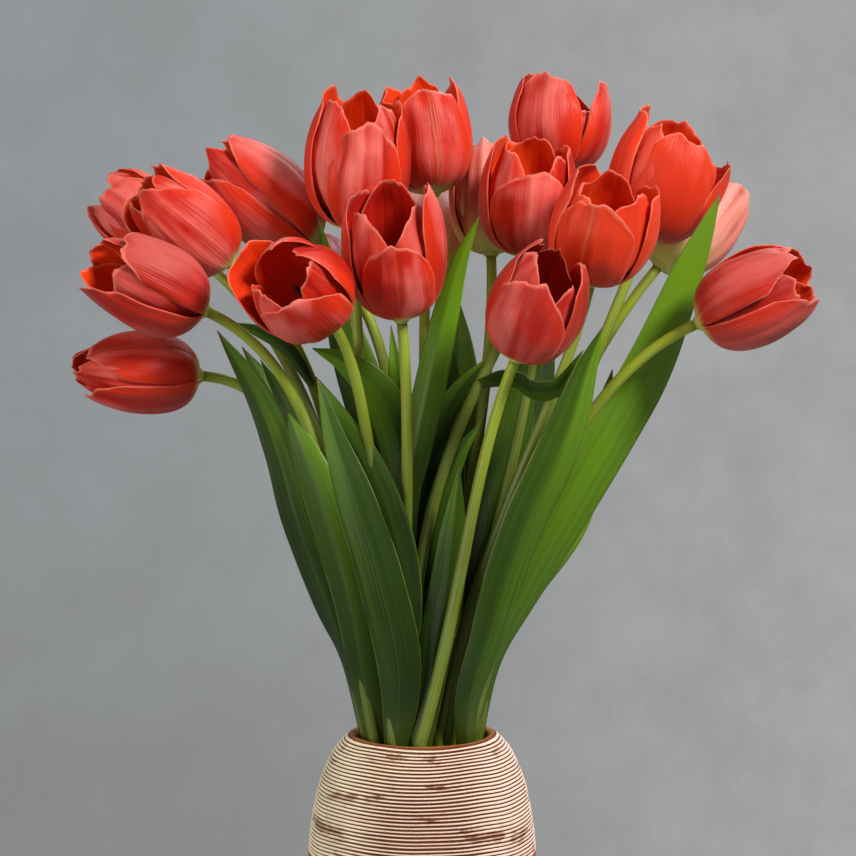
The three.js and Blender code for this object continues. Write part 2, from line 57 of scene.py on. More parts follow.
# ---------------------------------------------------------------- shapes of the bunch
# Each tulip: where its stem passes the vase's mouth, where its bloom sits, which way the
# bloom points, its length and radius, how wide its mouth is against that radius, and its
# turn about its own axis. lean is the stem's slope at the vase's mouth, which it keeps for the
# rise, and droop is how far ahead of the bloom the stem already follows its direction. petals
# says of each petal how far it is turned from its even place, its length against the bloom's,
# how much further out than the mouth its tip leans, and its width.
TULIPS = [
    dict(name="01", neck=(-29, -2.5), base=(-113, -8, 354), aim=(-65, -16, 5),
         size=(68, 20), mouth=0.35, turn=90,
         petals=[(0, 1, 0, 1), (0, 1, -0.02, 1), (0, 0.93, 0.04, 1), (-8, 1.03, 0, 0.9), (0, 0.92, 0, 1.05),
                 (0, 0.97, 0, 1)]),
    dict(name="02", neck=(-24.5, -15.5), base=(-108, -32, 388), aim=(-57, -18, 28),
         size=(68, 21), mouth=0.55, turn=90,
         petals=[(0, 1, 0.12, 1), (0, 0.98, 0.05, 1), (-6, 1, 0.12, 1), (10, 0.84, -0.12, 0.9),
                 (6, 0.86, -0.02, 1.05), (0, 0.98, -0.05, 1)]),
    dict(name="03", neck=(-24, 9.5), base=(-98, 3, 411), aim=(-48, -14, 43),
         size=(66, 21), mouth=0.5, turn=30,
         petals=[(0, 1.04, 0.06, 1), (0, 1, 0, 1), (0, 0.98, 0.22, 1), (0, 0.95, 0.08, 1),
                 (4, 0.93, -0.02, 1.1), (0, 0.97, -0.08, 1)]),
    dict(name="04", neck=(-17, 20.5), base=(-122, 42, 416), aim=(-53, 10, 37),
         size=(64, 20), mouth=0.55, turn=30,
         petals=[(0, 1, 0.12, 1), (0, 0.96, 0.05, 1), (0, 1.03, 0.12, 1), (0, 0.92, 0, 1),
                 (0, 0.9, 0.02, 1), (0, 1, 0, 1)]),
    dict(name="05", neck=(-8.5, 13.5), base=(-55, 28, 420), aim=(-56, 4, 50),
         size=(77, 23), mouth=0.5, turn=90,
         petals=[(0, 1, 0.08, 1), (0, 0.97, 0.06, 1), (-4, 0.93, 0.08, 1.05), (0, 0.99, -0.04, 0.9),
                 (4, 0.98, -0.02, 1.05), (0, 1.02, -0.04, 1)]),
    dict(name="06", neck=(-14.5, -25), base=(-46, -50, 385), aim=(-29, -42, 36),
         size=(55, 24), mouth=0.75, turn=30, droop=0.2,
         petals=[(0, 0.95, -0.1, 1), (0, 1.1, 0, 0.95), (0, 1.02, 0.15, 1), (0, 0.95, 0.02, 1),
                 (-10, 0.86, 0.05, 1.1), (0, 0.85, -0.3, 1)]),
    dict(name="07", neck=(-14, 3), base=(-34, -4, 427), aim=(3, -6, 71),
         size=(73, 25), mouth=0.58, turn=30,
         petals=[(-8, 1, 0.12, 0.95), (0, 1.04, -0.05, 1), (6, 1.03, 0.12, 0.95), (0, 0.98, 0, 1),
                 (11, 0.84, 0.01, 0.74), (4, 0.93, -0.03, 1)]),
    dict(name="08", neck=(-10, -7), base=(-10, -40, 383), aim=(-6, -10, 70),
         size=(71, 22.5), mouth=0.64, turn=30,
         petals=[(-28, 1, 0.15, 0.85), (4, 1.04, 0, 1), (0, 1, 0.1, 1), (-4, 0.87, 0.08, 1),
                 (0, 0.66, 0.1, 0.85), (-6, 0.84, -0.15, 0.9)]),
    dict(name="09", neck=(2.5, 18), base=(6, 31, 446), aim=(-8, 7, 63),
         size=(64, 22), mouth=0.55, turn=30,
         petals=[(-16, 1, 0.2, 0.85), (0, 1.05, 0.08, 1), (4, 1.03, 0.2, 1), (-10, 0.82, 0, 0.9),
                 (12, 0.88, 0, 1.05), (0, 0.84, -0.05, 1)]),
    dict(name="10", neck=(16, -0.5), base=(71, 46, 457), aim=(3, 10, 53),
         size=(56, 24), mouth=0.64, turn=30, lean=(60, 0), rise=0.45,
         petals=[(-34, 0.95, 0.2, 0.85), (-16, 0.92, 0, 1), (8, 1.07, 0.08, 0.95), (6, 0.98, -0.02, 1),
                 (-28, 0.94, 0, 0.95), (-14, 0.62, 0, 0.9)]),
    dict(name="11", neck=(12, 10.5), base=(37, 48, 414), aim=(-2, 14, 66),
         size=(66, 20), mouth=0.5, turn=30, pale=True,
         petals=[(0, 0.97, 0.08, 1), (0, 1, 0, 1), (0, 1.02, 0.08, 1), (0, 0.94, 0, 1), (0, 0.95, 0.05, 1),
                 (0, 0.96, -0.05, 1)]),
    dict(name="12", neck=(-4, -17), base=(54, 8, 413), aim=(4, -5, 61),
         size=(65, 22.5), mouth=0.6, turn=30, lean=(-15, -14), rise=0.62, droop=0.2,
         petals=[(-10, 0.98, 0.1, 0.95), (0, 1.04, 0, 1), (6, 1.02, 0.12, 0.95), (-8, 0.96, 0.03, 1),
                 (0, 0.74, 0.08, 1.05), (8, 0.9, -0.08, 0.95)]),
    dict(name="13", neck=(9, -14.5), base=(85, -27, 401), aim=(12, -18, 56),
         size=(60, 24), mouth=0.63, turn=30,
         petals=[(-16, 1, 0.16, 0.9), (0, 0.98, 0.03, 1), (0, 1.04, 0.1, 0.95), (-6, 0.88, 0, 0.95),
                 (-22, 0.85, 0.05, 1.05), (-12, 0.93, 0.02, 1)]),
    dict(name="14", neck=(28.7, -4), base=(114, 16, 421), aim=(24, -2, 68),
         size=(71, 26), mouth=0.6, turn=30,
         petals=[(-21, 0.84, 0.3, 0.82), (0, 0.99, 0.1, 1), (23, 1.02, 0.16, 0.95), (4, 0.86, 0, 1),
                 (8, 0.9, 0.02, 1.05), (-6, 0.8, 0, 0.9)]),
    dict(name="15", neck=(24.5, 14), base=(126, 52, 408), aim=(38, 18, 44),
         size=(62, 21), mouth=0.7, turn=60, pale=True),
    dict(name="16", neck=(23.5, -17), base=(138, -35, 382), aim=(60, -12, 29),
         size=(65, 22), mouth=0.5, turn=90,
         petals=[(0, 1, 0.15, 1), (0, 1, 0.05, 1), (-4, 0.92, 0, 1.05), (6, 0.9, -0.05, 0.9),
                 (4, 0.97, 0.08, 1.05), (0, 0.95, 0, 1)]),
    dict(name="17", neck=(-1, -29), base=(46, -60, 365), aim=(22, -18, 58),
         size=(64, 23), mouth=0.54, turn=30, lean=(56, -20),
         petals=[(-22, 0.97, 0.12, 0.9), (0, 1, -0.03, 1), (6, 1, -0.02, 1.05), (0, 0.93, -0.03, 1),
                 (-18, 0.78, 0.05, 1.05), (0, 0.78, -0.1, 0.9)]),
    dict(name="18", neck=(4.5, 29), base=(2, 70, 404), aim=(2, 40, 34),
         size=(60, 21), mouth=0.6, turn=20, pale=True),
    dict(name="19", neck=(-7, 27), base=(-45, 60, 384), aim=(-16, 48, 28),
         size=(60, 21), mouth=0.6, turn=70),
    dict(name="20", neck=(15.5, 23.5), base=(60, 66, 376), aim=(18, 46, 26),
         size=(60, 21), mouth=0.6, turn=40),
]

# Each leaf: its tulip, the height where it leaves that stem, the points its midrib runs
# through, its full width and where it is widest, the way its upper face looks, how far its
# margins fold up, how much they wave, and how widely its foot clasps the stem.
LEAVES = [
    dict(on="01", start=150, width=25, widest=0.55, face=(0.5, 0.85, 0), fold=0.45, wave=0.12, clasp=0.22,
         through=[(-38, -7, 203), (-50, -9, 237), (-65, -10, 280), (-75, -11, 316), (-87, -13, 347),
                  (-105, -15, 378)]),
    dict(on="02", start=160, width=23, face=(0.3, 0.9, 0), fold=0.35, clasp=0.5,
         through=[(-36, -24, 235), (-48, -25, 281), (-60, -22, 315), (-69, -18, 337)]),
    dict(on="06", start=152, width=24, widest=0.3, face=(0.15, 1, 0), fold=0.3, clasp=0.42,
         through=[(-12, -36, 205), (-22, -41, 254), (-34, -41, 294), (-44, -38, 324), (-53, -34, 355)]),
    dict(on="06", start=190, width=21, face=(0.2, 1, 0), fold=0.2,
         through=[(-9, -31, 231), (-15, -31, 272), (-28, -31, 308), (-42, -29, 333), (-54, -25, 355)]),
    dict(on="07", start=205, width=23, face=(0.2, 1, 0.3), fold=0.25,
         through=[(-11, -3, 258), (-10, -4, 306), (-20, -7, 340), (-38, -11, 360), (-56, -16, 369)]),
    dict(on="08", start=205, width=17, face=(0.3, 1, 0), fold=0.4,
         through=[(-9, -15, 285), (-4, -16, 316), (4, -18, 353), (11, -20, 384), (19, -20, 413),
                  (29, -20, 436)]),
    dict(on="05", start=200, width=16, face=(0.2, 1, 0), fold=0.3,
         through=[(-14, 8, 256), (-27, 12, 314), (-40, 12, 361), (-48, 10, 403), (-54, 8, 437)]),
    dict(on="03", start=345, width=8, face=(0, 1, 0.5), fold=0.3,
         through=[(-68, -8, 366), (-84, -12, 377), (-100, -15, 382)]),
    dict(on="14", start=152, width=29, widest=0.6, face=(-0.4, 0.9, 0), fold=0.3, clasp=0.18,
         through=[(35, -9, 202), (51, -13, 238), (74, -15, 280), (101, -14, 327), (120, -12, 363),
                  (138, -10, 409), (153, -8, 448)]),
    dict(on="16", start=152, width=24, widest=0.55, face=(-0.3, 0.9, 0), fold=0.35, clasp=0.36,
         through=[(24.6, -30, 189), (34.7, -35, 223), (43, -38, 253), (54, -41, 284), (66, -42, 310),
                  (76, -43, 336), (83, -44, 360), (91, -45, 382)]),
    dict(on="15", start=155, width=21, widest=0.6, face=(-0.3, 0.9, 0), fold=0.25, wave=0.15, clasp=0.3,
         through=[(36, 8, 205), (54, 9, 238), (77, 8, 274), (91, 12, 317), (100, 16, 356)]),
    dict(on="12", start=349, width=15, face=(0, 0.8, 0.6), fold=0.25,
         through=[(45, -14, 352), (56, -25, 347), (70, -30, 350), (82, -30, 369)]),
    dict(on="11", start=165, width=22, face=(-0.1, 1, 0), fold=0.25, clasp=0.5,
         through=[(28, 9, 213), (38, 14, 265), (49, 19, 302), (60, 28, 338), (65, 37, 376),
                  (65, 42, 397)]),
    dict(on="17", start=158, width=19, widest=0.4, face=(0, 1, 0), fold=0.2, clasp=0.5,
         through=[(6.5, -29, 215), (12, -28, 241), (16, -29, 277), (19, -31, 309)]),
    dict(on="12", start=215, width=12, face=(0, 1, 0), fold=0.25,
         through=[(4, -12, 259), (10, -10, 290), (19, -9, 313), (30, -8, 330)]),
    dict(on="09", start=215, width=14, face=(0, 1, 0), fold=0.3,
         through=[(-1, 8, 278), (5, 3, 313), (16, -2, 342), (34, -5, 364)]),
    dict(on="11", start=230, width=16, face=(0, 1, 0), fold=0.3,
         through=[(15, 26, 255), (15, 35, 302), (16, 41, 339), (14, 45, 378)]),
    dict(on="07", start=190, width=18, face=(0.1, 1, 0), fold=0.3,
         through=[(-9, 2, 236), (-10, 0, 289), (-12, -2, 336), (-16, -4, 380)]),
    dict(on="04", start=158, width=24, face=(0.5, -0.8, 0), fold=0.3, clasp=0.5,
         through=[(-34, 34, 225), (-56, 46, 280), (-76, 58, 330), (-98, 66, 365)]),
    dict(on="19", start=155, width=25, face=(0.2, -1, 0), fold=0.3, clasp=0.5,
         through=[(-14, 42, 215), (-22, 58, 270), (-30, 74, 320), (-44, 92, 352)]),
    dict(on="18", start=158, width=28, widest=0.66, face=(-0.1, -1, 0), fold=0.25, wave=0.1, clasp=0.2,
         through=[(8, 48, 225), (13, 60, 280), (19, 72, 335), (20, 88, 390)]),
    dict(on="20", start=155, width=28, face=(-0.4, -0.9, 0), fold=0.3, clasp=0.5,
         through=[(30, 38, 215), (46, 52, 265), (62, 64, 310), (80, 76, 350)]),
    dict(on="04", start=215, width=18, face=(0.3, 1, 0), fold=0.25,
         through=[(-40, 22, 262), (-54, 25, 296), (-68, 29, 328), (-86, 34, 360)]),
    dict(on="10", start=200, width=24, face=(0, 1, 0), fold=0.25,
         through=[(24, 4, 235), (35, 7, 275), (46, 13, 320), (56, 22, 362), (62, 30, 395)]),
    dict(on="19", start=185, width=24, face=(0.2, 1, 0), fold=0.25,
         through=[(-12, 32, 225), (-16, 37, 265), (-20, 41, 305), (-27, 45, 345), (-34, 48, 380)]),
]

# The vase: the heights of its lip, of its floor and of the first combed ridge, and its wall, foot
# and inside as radius and height. The lip's points also say how deep the cut is and how bare the clay.
LIP_HEIGHT = 166
VASE_FLOOR = 7
COMBED_FROM = 105
VASE_WALL = [(37, 3), (45, 26), (55, 60), (60, 98), (56, 133), (48.6, 154), (41, 164)]
VASE_FOOT = [(0, 0), (33, 0), (35.6, 0.25), (36.6, 1.4)]
VASE_LIP = [(40.2, 164.5, 0.0, 0.0), (39.4, 165, 0.0, 0.0), (38.8, 165.4, 1.0, 0.0),
            (38.2, 165.8, 1.0, 0.3), (37.2, LIP_HEIGHT, 0.0, 1.0), (35.8, 165.9, 0.0, 1.0),
            (34.7, 165.1, 0.0, 1.0), (34.5, 163.6, 0.0, 1.0), (34.5, 161, 0.0, 1.0)]
VASE_INSIDE = [(46, 145), (53, 112), (55, 88), (45, 40), (34, VASE_FLOOR), (0, VASE_FLOOR)]
# How far in a stem's foot stands on the vase's floor, against its place at the vase's mouth.
STEM_SPREAD = 0.72
# Petals: how many, in two whorls, and the turn from one to the next, how far the inner whorl stands
# inside the outer one, the bloom's radius at its foot, how much tighter than the bloom a petal curves
# at its tip, how far one margin stands out over the next petal, the most that half a petal wraps
# round, and where it is widest and its end begins.
PETALS = 6
PETAL_STEP = 360 / PETALS
PETAL_WHORL_GAP = 2.8
BLOOM_NECK = 4.4
PETAL_CURL = 0.16
PETAL_LAP = 7.0
PETAL_WRAP = math.radians(64)
PETAL_WIDEST = 0.48
PETAL_SHOULDER = 0.72
# How far a petal's ruffled end, folds, pleats, keel and curling margins stray from its even curve.
RUFFLE = 3.2
FOLDS = 2.2
PLEATS = 1.25
KEEL = 0.35
MARGIN_CURL = 3.3
# How far a leaf's rippled margins, the groove along its middle and its ribs stray from its fold.
LEAF_RIPPLE = 0.9
LEAF_GROOVE = 0.35
LEAF_RIBS = 0.05
# Steps through 0..1 that give each stem, leaf and petal a tint of its own, and the rest's one tint.
SEED_STEP = 0.618
LEAF_SEED_STEP = 0.383
PETAL_SEED_STEP = 0.271
PLAIN_SEED = 0.5
# The petals of a bloom whose entry above lists none.
EVEN_PETALS = [(0, 1, 0.1, 1), (0, 0.98, 0, 1), (0, 0.97, 0.05, 1), (0, 1, -0.05, 1),
               (0, 1.02, 0.12, 1), (0, 0.96, 0, 1)]
# How far a bloom leans from coral towards orange, or towards crimson below nought, outside and inside:
# partly its own tint, partly painted light and shade on the whole bloom.
TONES_AND_SHADING = {"01": -0.3, "02": -1.0, "03": 0.2, "06": 0.1, "07": -0.1, "08": -0.2, "09": 0.3, "10": -0.2,
         "13": 0.9, "14": 0.7, "16": -1.0, "17": -0.7}
INNER_TONES_AND_SHADING = {"08": -0.9, "06": -0.3, "17": -0.7, "10": -0.4}
# How far the tips of some petals, by bloom and number, fold out, or in below nought.
TIP_BENDS = {("06", 0): -12, ("06", 1): -9, ("06", 2): 4, ("06", 3): -2, ("10", 3): -3, ("12", 5): 3,
             ("17", 0): -5, ("17", 1): -6, ("17", 2): -4}
TIP_BENDS.update({("18", number): -2 for number in range(PETALS)})
# How yellow and light a stem's leaves are: partly their own tint, partly painted light and shade.
LEAF_TONES_AND_SHADING = {"14": 1.05, "15": 1.1, "16": 0.4, "07": 0.7, "08": 0.95, "11": -0.3, "05": 0.5,
              "01": 0.05, "06": -0.15, "02": 0.65, "10": 0.1, "12": 0.35}


# ---------------------------------------------------------------- settings
class VaseSettings(bpy.types.PropertyGroup):
    sides: bpy.props.IntProperty(
        name="Sides", description="Facets round the vase", default=160, min=48, max=256)
    ridge_pitch: bpy.props.FloatProperty(
        name="Ridge pitch", description="Height of one combed ridge with its groove",
        default=0.00193, unit="LENGTH", precision=5)
    ridge_depth: bpy.props.FloatProperty(
        name="Ridge depth", description="How deep the comb cuts between two ridges",
        default=0.0007, unit="LENGTH", precision=5)
    waver: bpy.props.FloatProperty(
        name="Waver", description="How far a ridge strays up or down round the vase",
        default=0.0007, unit="LENGTH", precision=5)
    slip: bpy.props.FloatVectorProperty(
        name="Slip", description="Colour of the cream slip on the ridges",
        subtype="COLOR", size=4, default=(0.90, 0.68, 0.56, 1.0))
    clay: bpy.props.FloatVectorProperty(
        name="Clay", description="Colour of the bare clay of the lip and the lower body",
        subtype="COLOR", size=4, default=(0.34, 0.105, 0.022, 1.0))


class LeafSettings(bpy.types.PropertyGroup):
    across: bpy.props.IntProperty(
        name="Across", description="Faces across a leaf", default=16, min=4, max=32)
    along: bpy.props.IntProperty(
        name="Along", description="Faces along a leaf", default=64, min=12, max=96)
    thickness: bpy.props.FloatProperty(
        name="Thickness", description="Thickness of a leaf along its midrib",
        default=0.0009, unit="LENGTH", precision=5)
    deep: bpy.props.FloatVectorProperty(
        name="Deep green", description="Colour of a leaf between its veins",
        subtype="COLOR", size=4, default=(0.005, 0.017, 0.001, 1.0))
    bright: bpy.props.FloatVectorProperty(
        name="Bright green", description="Colour of a leaf's veins and its young parts",
        subtype="COLOR", size=4, default=(0.135, 0.285, 0.008, 1.0))
    # The haze is partly the leaf's real waxy bloom and partly a painted sheen.
    haze_and_sheen: bpy.props.FloatVectorProperty(
        name="Haze", description="Colour of the waxy bloom that lies on a leaf",
        subtype="COLOR", size=4, default=(0.062, 0.152, 0.040, 1.0))


class StemSettings(bpy.types.PropertyGroup):
    sides: bpy.props.IntProperty(
        name="Sides", description="Facets round a stem", default=14, min=6, max=32)
    steps: bpy.props.IntProperty(
        name="Steps", description="Rings along a stem", default=48, min=12, max=96)
    lower_radius: bpy.props.FloatProperty(
        name="Lower radius", description="Radius of a stem at the vase's mouth",
        default=0.0034, unit="LENGTH", precision=5)
    upper_radius: bpy.props.FloatProperty(
        name="Upper radius", description="Radius of a stem under its bloom",
        default=0.0027, unit="LENGTH", precision=5)
    green: bpy.props.FloatVectorProperty(
        name="Stem green", description="Colour of a stem's shaded side",
        subtype="COLOR", size=4, default=(0.050, 0.078, 0.004, 1.0))
    lime: bpy.props.FloatVectorProperty(
        name="Stem lime", description="Colour of a stem's fibres and its upper part",
        subtype="COLOR", size=4, default=(0.36, 0.46, 0.025, 1.0))


class BloomSettings(bpy.types.PropertyGroup):
    across: bpy.props.IntProperty(
        name="Across", description="Faces across a petal", default=32, min=6, max=40)
    along: bpy.props.IntProperty(
        name="Along", description="Faces along a petal", default=34, min=8, max=60)
    thickness: bpy.props.FloatProperty(
        name="Thickness", description="Thickness of a petal along its middle",
        default=0.0008, unit="LENGTH", precision=5)
    coral: bpy.props.FloatVectorProperty(
        name="Coral", description="Colour of a petal's outer face",
        subtype="COLOR", size=4, default=(0.56, 0.014, 0.003, 1.0))
    # The blush is partly a real pale dusting and partly a painted sheen on the outer face.
    blush: bpy.props.FloatVectorProperty(
        name="Blush", description="Colour of the pale dusting on a petal's outer face",
        subtype="COLOR", size=4, default=(0.80, 0.158, 0.132, 1.0))
    flame: bpy.props.FloatVectorProperty(
        name="Flame", description="Colour of a petal's inner face",
        subtype="COLOR", size=4, default=(0.88, 0.050, 0.004, 1.0))
    salmon: bpy.props.FloatVectorProperty(
        name="Salmon", description="Colour of a young bloom's outer face",
        subtype="COLOR", size=4, default=(0.84, 0.25, 0.19, 1.0))
    claw: bpy.props.FloatVectorProperty(
        name="Claw", description="Colour of a petal's foot",
        subtype="COLOR", size=4, default=(0.62, 0.60, 0.15, 1.0))


class StageSettings(bpy.types.PropertyGroup):
    floor_radius: bpy.props.FloatProperty(
        name="Floor radius", description="Radius of the floor, which fades out at its rim",
        default=0.42, unit="LENGTH")
    floor: bpy.props.FloatVectorProperty(
        name="Floor", description="Colour of the floor", subtype="COLOR", size=4,
        default=(0.46, 0.46, 0.45, 1.0))
    backdrop: bpy.props.FloatVectorProperty(
        name="Backdrop", description="Colour behind the bunch", subtype="COLOR", size=4,
        default=(0.325, 0.330, 0.330, 1.0))
    ambient: bpy.props.FloatProperty(
        name="Ambient", description="Strength of the soft light from all round", default=0.22)
    key_power: bpy.props.FloatProperty(
        name="Key", description="Power of the key light", default=84.0, unit="POWER")
    fill_power: bpy.props.FloatProperty(
        name="Fill", description="Power of the fill light", default=21.0, unit="POWER")
    back_power: bpy.props.FloatProperty(
        name="Back", description="Power of the light behind the bunch", default=18.0, unit="POWER")


SETTINGS = {
    "tulip_vase": VaseSettings,
    "tulip_leaves": LeafSettings,
    "tulip_stems": StemSettings,
    "tulip_blooms": BloomSettings,
    "tulip_stage": StageSettings,
}


# ---------------------------------------------------------------- finishes: node helpers
class Recipe:
    """Adds shader nodes to a tree one after another, so that a finish reads as its steps."""

    def __init__(self, tree):
        self.tree = tree

    def feed(self, socket, value):
        if isinstance(value, bpy.types.NodeSocket):
            self.tree.links.new(value, socket)
        else:
            socket.default_value = value

    def node(self, kind, inputs=None, **settings):
        made = self.tree.nodes.new("ShaderNode" + kind)
        for name, value in settings.items():
            setattr(made, name, value)
        for key, value in (inputs or {}).items():
            self.feed(made.inputs[key], value)
        return made

    def maths(self, operation, *values):
        made = self.node("Math", operation=operation)
        for socket, value in zip(made.inputs, values):
            self.feed(socket, value)
        return made.outputs[0]

    def ease(self, value, low, high, start=0.0, end=1.0):
        made = self.node("MapRange", interpolation_type="SMOOTHSTEP")
        for socket, given in zip(made.inputs, (value, low, high, start, end)):
            self.feed(socket, given)
        return made.outputs[0]

    def times(self, first, second):
        return self.maths("MULTIPLY", first, second)

    def plus(self, first, *others):
        """The sum of two or more numbers."""
        for other in others:
            first = self.maths("ADD", first, other)
        return first

    def mix(self, share, first, second):
        # The node's sockets for colours are 6 and 7, and it puts a colour out of socket 2.
        made = self.node("Mix", data_type="RGBA")
        self.feed(made.inputs[0], share)
        self.feed(made.inputs[6], first)
        self.feed(made.inputs[7], second)
        return made.outputs[2]

    def layers(self, colour, *coats):
        """The colour with each coat, a share and its colour, laid over it in turn."""
        for share, coat in coats:
            colour = self.mix(share, colour, coat)
        return colour

    def noise(self, vector, scale, detail=2.0, roughness=0.5):
        made = self.node("TexNoise", {"Vector": vector, "Scale": scale, "Detail": detail,
                                      "Roughness": roughness})
        return made.outputs[0]

    def vector(self, x, y, z):
        return self.node("CombineXYZ", {"X": x, "Y": y, "Z": z}).outputs[0]

    def parts(self, vector):
        return self.node("SeparateXYZ", {"Vector": vector}).outputs

    def length(self, vector):
        return self.node("VectorMath", {0: vector}, operation="LENGTH").outputs["Value"]

    def uv(self):
        """Across and along a piece, both from 0 to 1."""
        across, along, _ = self.parts(self.node("UVMap", uv_map="UVMap").outputs[0])
        return across, along

    def off_middle(self, across):
        """How far a spot lies from its piece's middle line, up to 1 at either margin."""
        return self.maths("ABSOLUTE", self.maths("SUBTRACT", self.times(across, 2.0), 1.0))

    def attribute(self, name):
        return self.node("Attribute", attribute_name=name, attribute_type="GEOMETRY").outputs["Fac"]

    def place(self):
        return self.node("TexCoord").outputs["Object"]


def new_group(name, inputs, outputs):
    """A shader node group with number or colour sockets, and its recipe and ends."""
    tree = bpy.data.node_groups.new(name, "ShaderNodeTree")
    for label, default in inputs.items():
        kind = "NodeSocketFloat" if isinstance(default, float) else "NodeSocketColor"
        socket = tree.interface.new_socket(name=label, in_out="INPUT", socket_type=kind)
        socket.default_value = default
    for label, kind in outputs.items():
        tree.interface.new_socket(name=label, in_out="OUTPUT", socket_type="NodeSocket" + kind)
    start = tree.nodes.new("NodeGroupInput")
    end = tree.nodes.new("NodeGroupOutput")
    return tree, Recipe(tree), start.outputs, end.inputs


def use_group(recipe, tree, **inputs):
    made = recipe.tree.nodes.new("ShaderNodeGroup")
    made.node_tree = tree
    for label, value in inputs.items():
        recipe.feed(made.inputs[label.replace("_", " ")], value)
    return made.outputs


def group_once(name, build):
    return bpy.data.node_groups.get(name) or build(name)


def streaks_group(name):
    """Fine lines that run along a petal, a leaf or a stem and fade in and out."""
    tree, recipe, start, end = new_group(
        name, {"Lines": 20.0, "Stretch": 1.5, "Seed": 0.0}, {"Mask": "Float"})
    across, along = recipe.uv()
    spot = recipe.vector(
        recipe.times(across, start["Lines"]),
        recipe.times(along, start["Stretch"]),
        recipe.times(start["Seed"], 7.0),
    )
    recipe.feed(end["Mask"], recipe.ease(recipe.noise(spot, 1.0, 3.0, 0.6), 0.3, 0.7))
    return tree


def patches_group(name):
    """Soft cloudy patches over the whole piece."""
    tree, recipe, start, end = new_group(
        name, {"Scale": 40.0, "Low": 0.4, "High": 0.62}, {"Mask": "Float"})
    cloud = recipe.noise(recipe.place(), start["Scale"], 3.0)
    recipe.feed(end["Mask"], recipe.ease(cloud, start["Low"], start["High"]))
    return tree


def streaks(recipe, lines, stretch, seed):
    tree = group_once("Lengthwise streaks", streaks_group)
    return use_group(recipe, tree, Lines=lines, Stretch=stretch, Seed=seed)["Mask"]


def patches(recipe, scale, low, high):
    tree = group_once("Soft patches", patches_group)
    return use_group(recipe, tree, Scale=scale, Low=low, High=high)["Mask"]


def new_material(name):
    """A material with a Principled BSDF, and its recipe."""
    made = bpy.data.materials.new(name)
    made.use_nodes = True
    recipe = Recipe(made.node_tree)
    return made, recipe, made.node_tree.nodes["Principled BSDF"]


def set_plain(shader, values):
    """Sets what is the same all over the surface on the shader's own sockets."""
    for label, value in values.items():
        shader.inputs[label].default_value = value


def bump(recipe, shader, height, strength, distance):
    made = recipe.node("Bump", {"Height": height, "Strength": strength, "Distance": distance})
    recipe.feed(shader.inputs["Normal"], made.outputs[0])


# ---------------------------------------------------------------- finishes of the flowers
# The colours that a petal, a leaf or a stem takes on in some places, over those of the settings.
CREASE_SHADE_RED = (0.36, 0.006, 0.002, 1.0)
MARGIN_RED_AND_GLOW = (0.80, 0.042, 0.005, 1.0)
ORANGE = (0.84, 0.055, 0.012, 1.0)
CRIMSON = (0.37, 0.017, 0.013, 1.0)
DARK_FLAME = (0.46, 0.003, 0.001, 1.0)
THROAT_RED = (0.30, 0.006, 0.002, 1.0)
FIERY_VEIN = (0.90, 0.12, 0.02, 1.0)
HEM_RED = (0.82, 0.12, 0.07, 1.0)
HEM_PINK_HIGHLIGHT = (0.90, 0.28, 0.19, 1.0)
# Pale blooms' blush: partly real dusting, partly painted sheen.
PALE_BLUSH = (0.93, 0.43, 0.36, 1.0)
PALE_FLAME = (0.86, 0.20, 0.08, 1.0)
ANTHER_BLACK = (0.006, 0.004, 0.008, 1.0)
ANTHER_VIOLET = (0.03, 0.015, 0.03, 1.0)
PISTIL_GREEN = (0.36, 0.42, 0.07, 1.0)
PISTIL_CREAM = (0.60, 0.58, 0.17, 1.0)
MIDRIB_GREEN = (0.15, 0.25, 0.03, 1.0)
YOUNG_GREEN = (0.17, 0.25, 0.03, 1.0)
LEAF_EDGE = (0.36, 0.46, 0.08, 1.0)
HEART_SHADE_GREEN = (0.006, 0.016, 0.001, 1.0)
DRY_TIP = (0.20, 0.085, 0.03, 1.0)
STEM_HAZE = (0.20, 0.27, 0.08, 1.0)


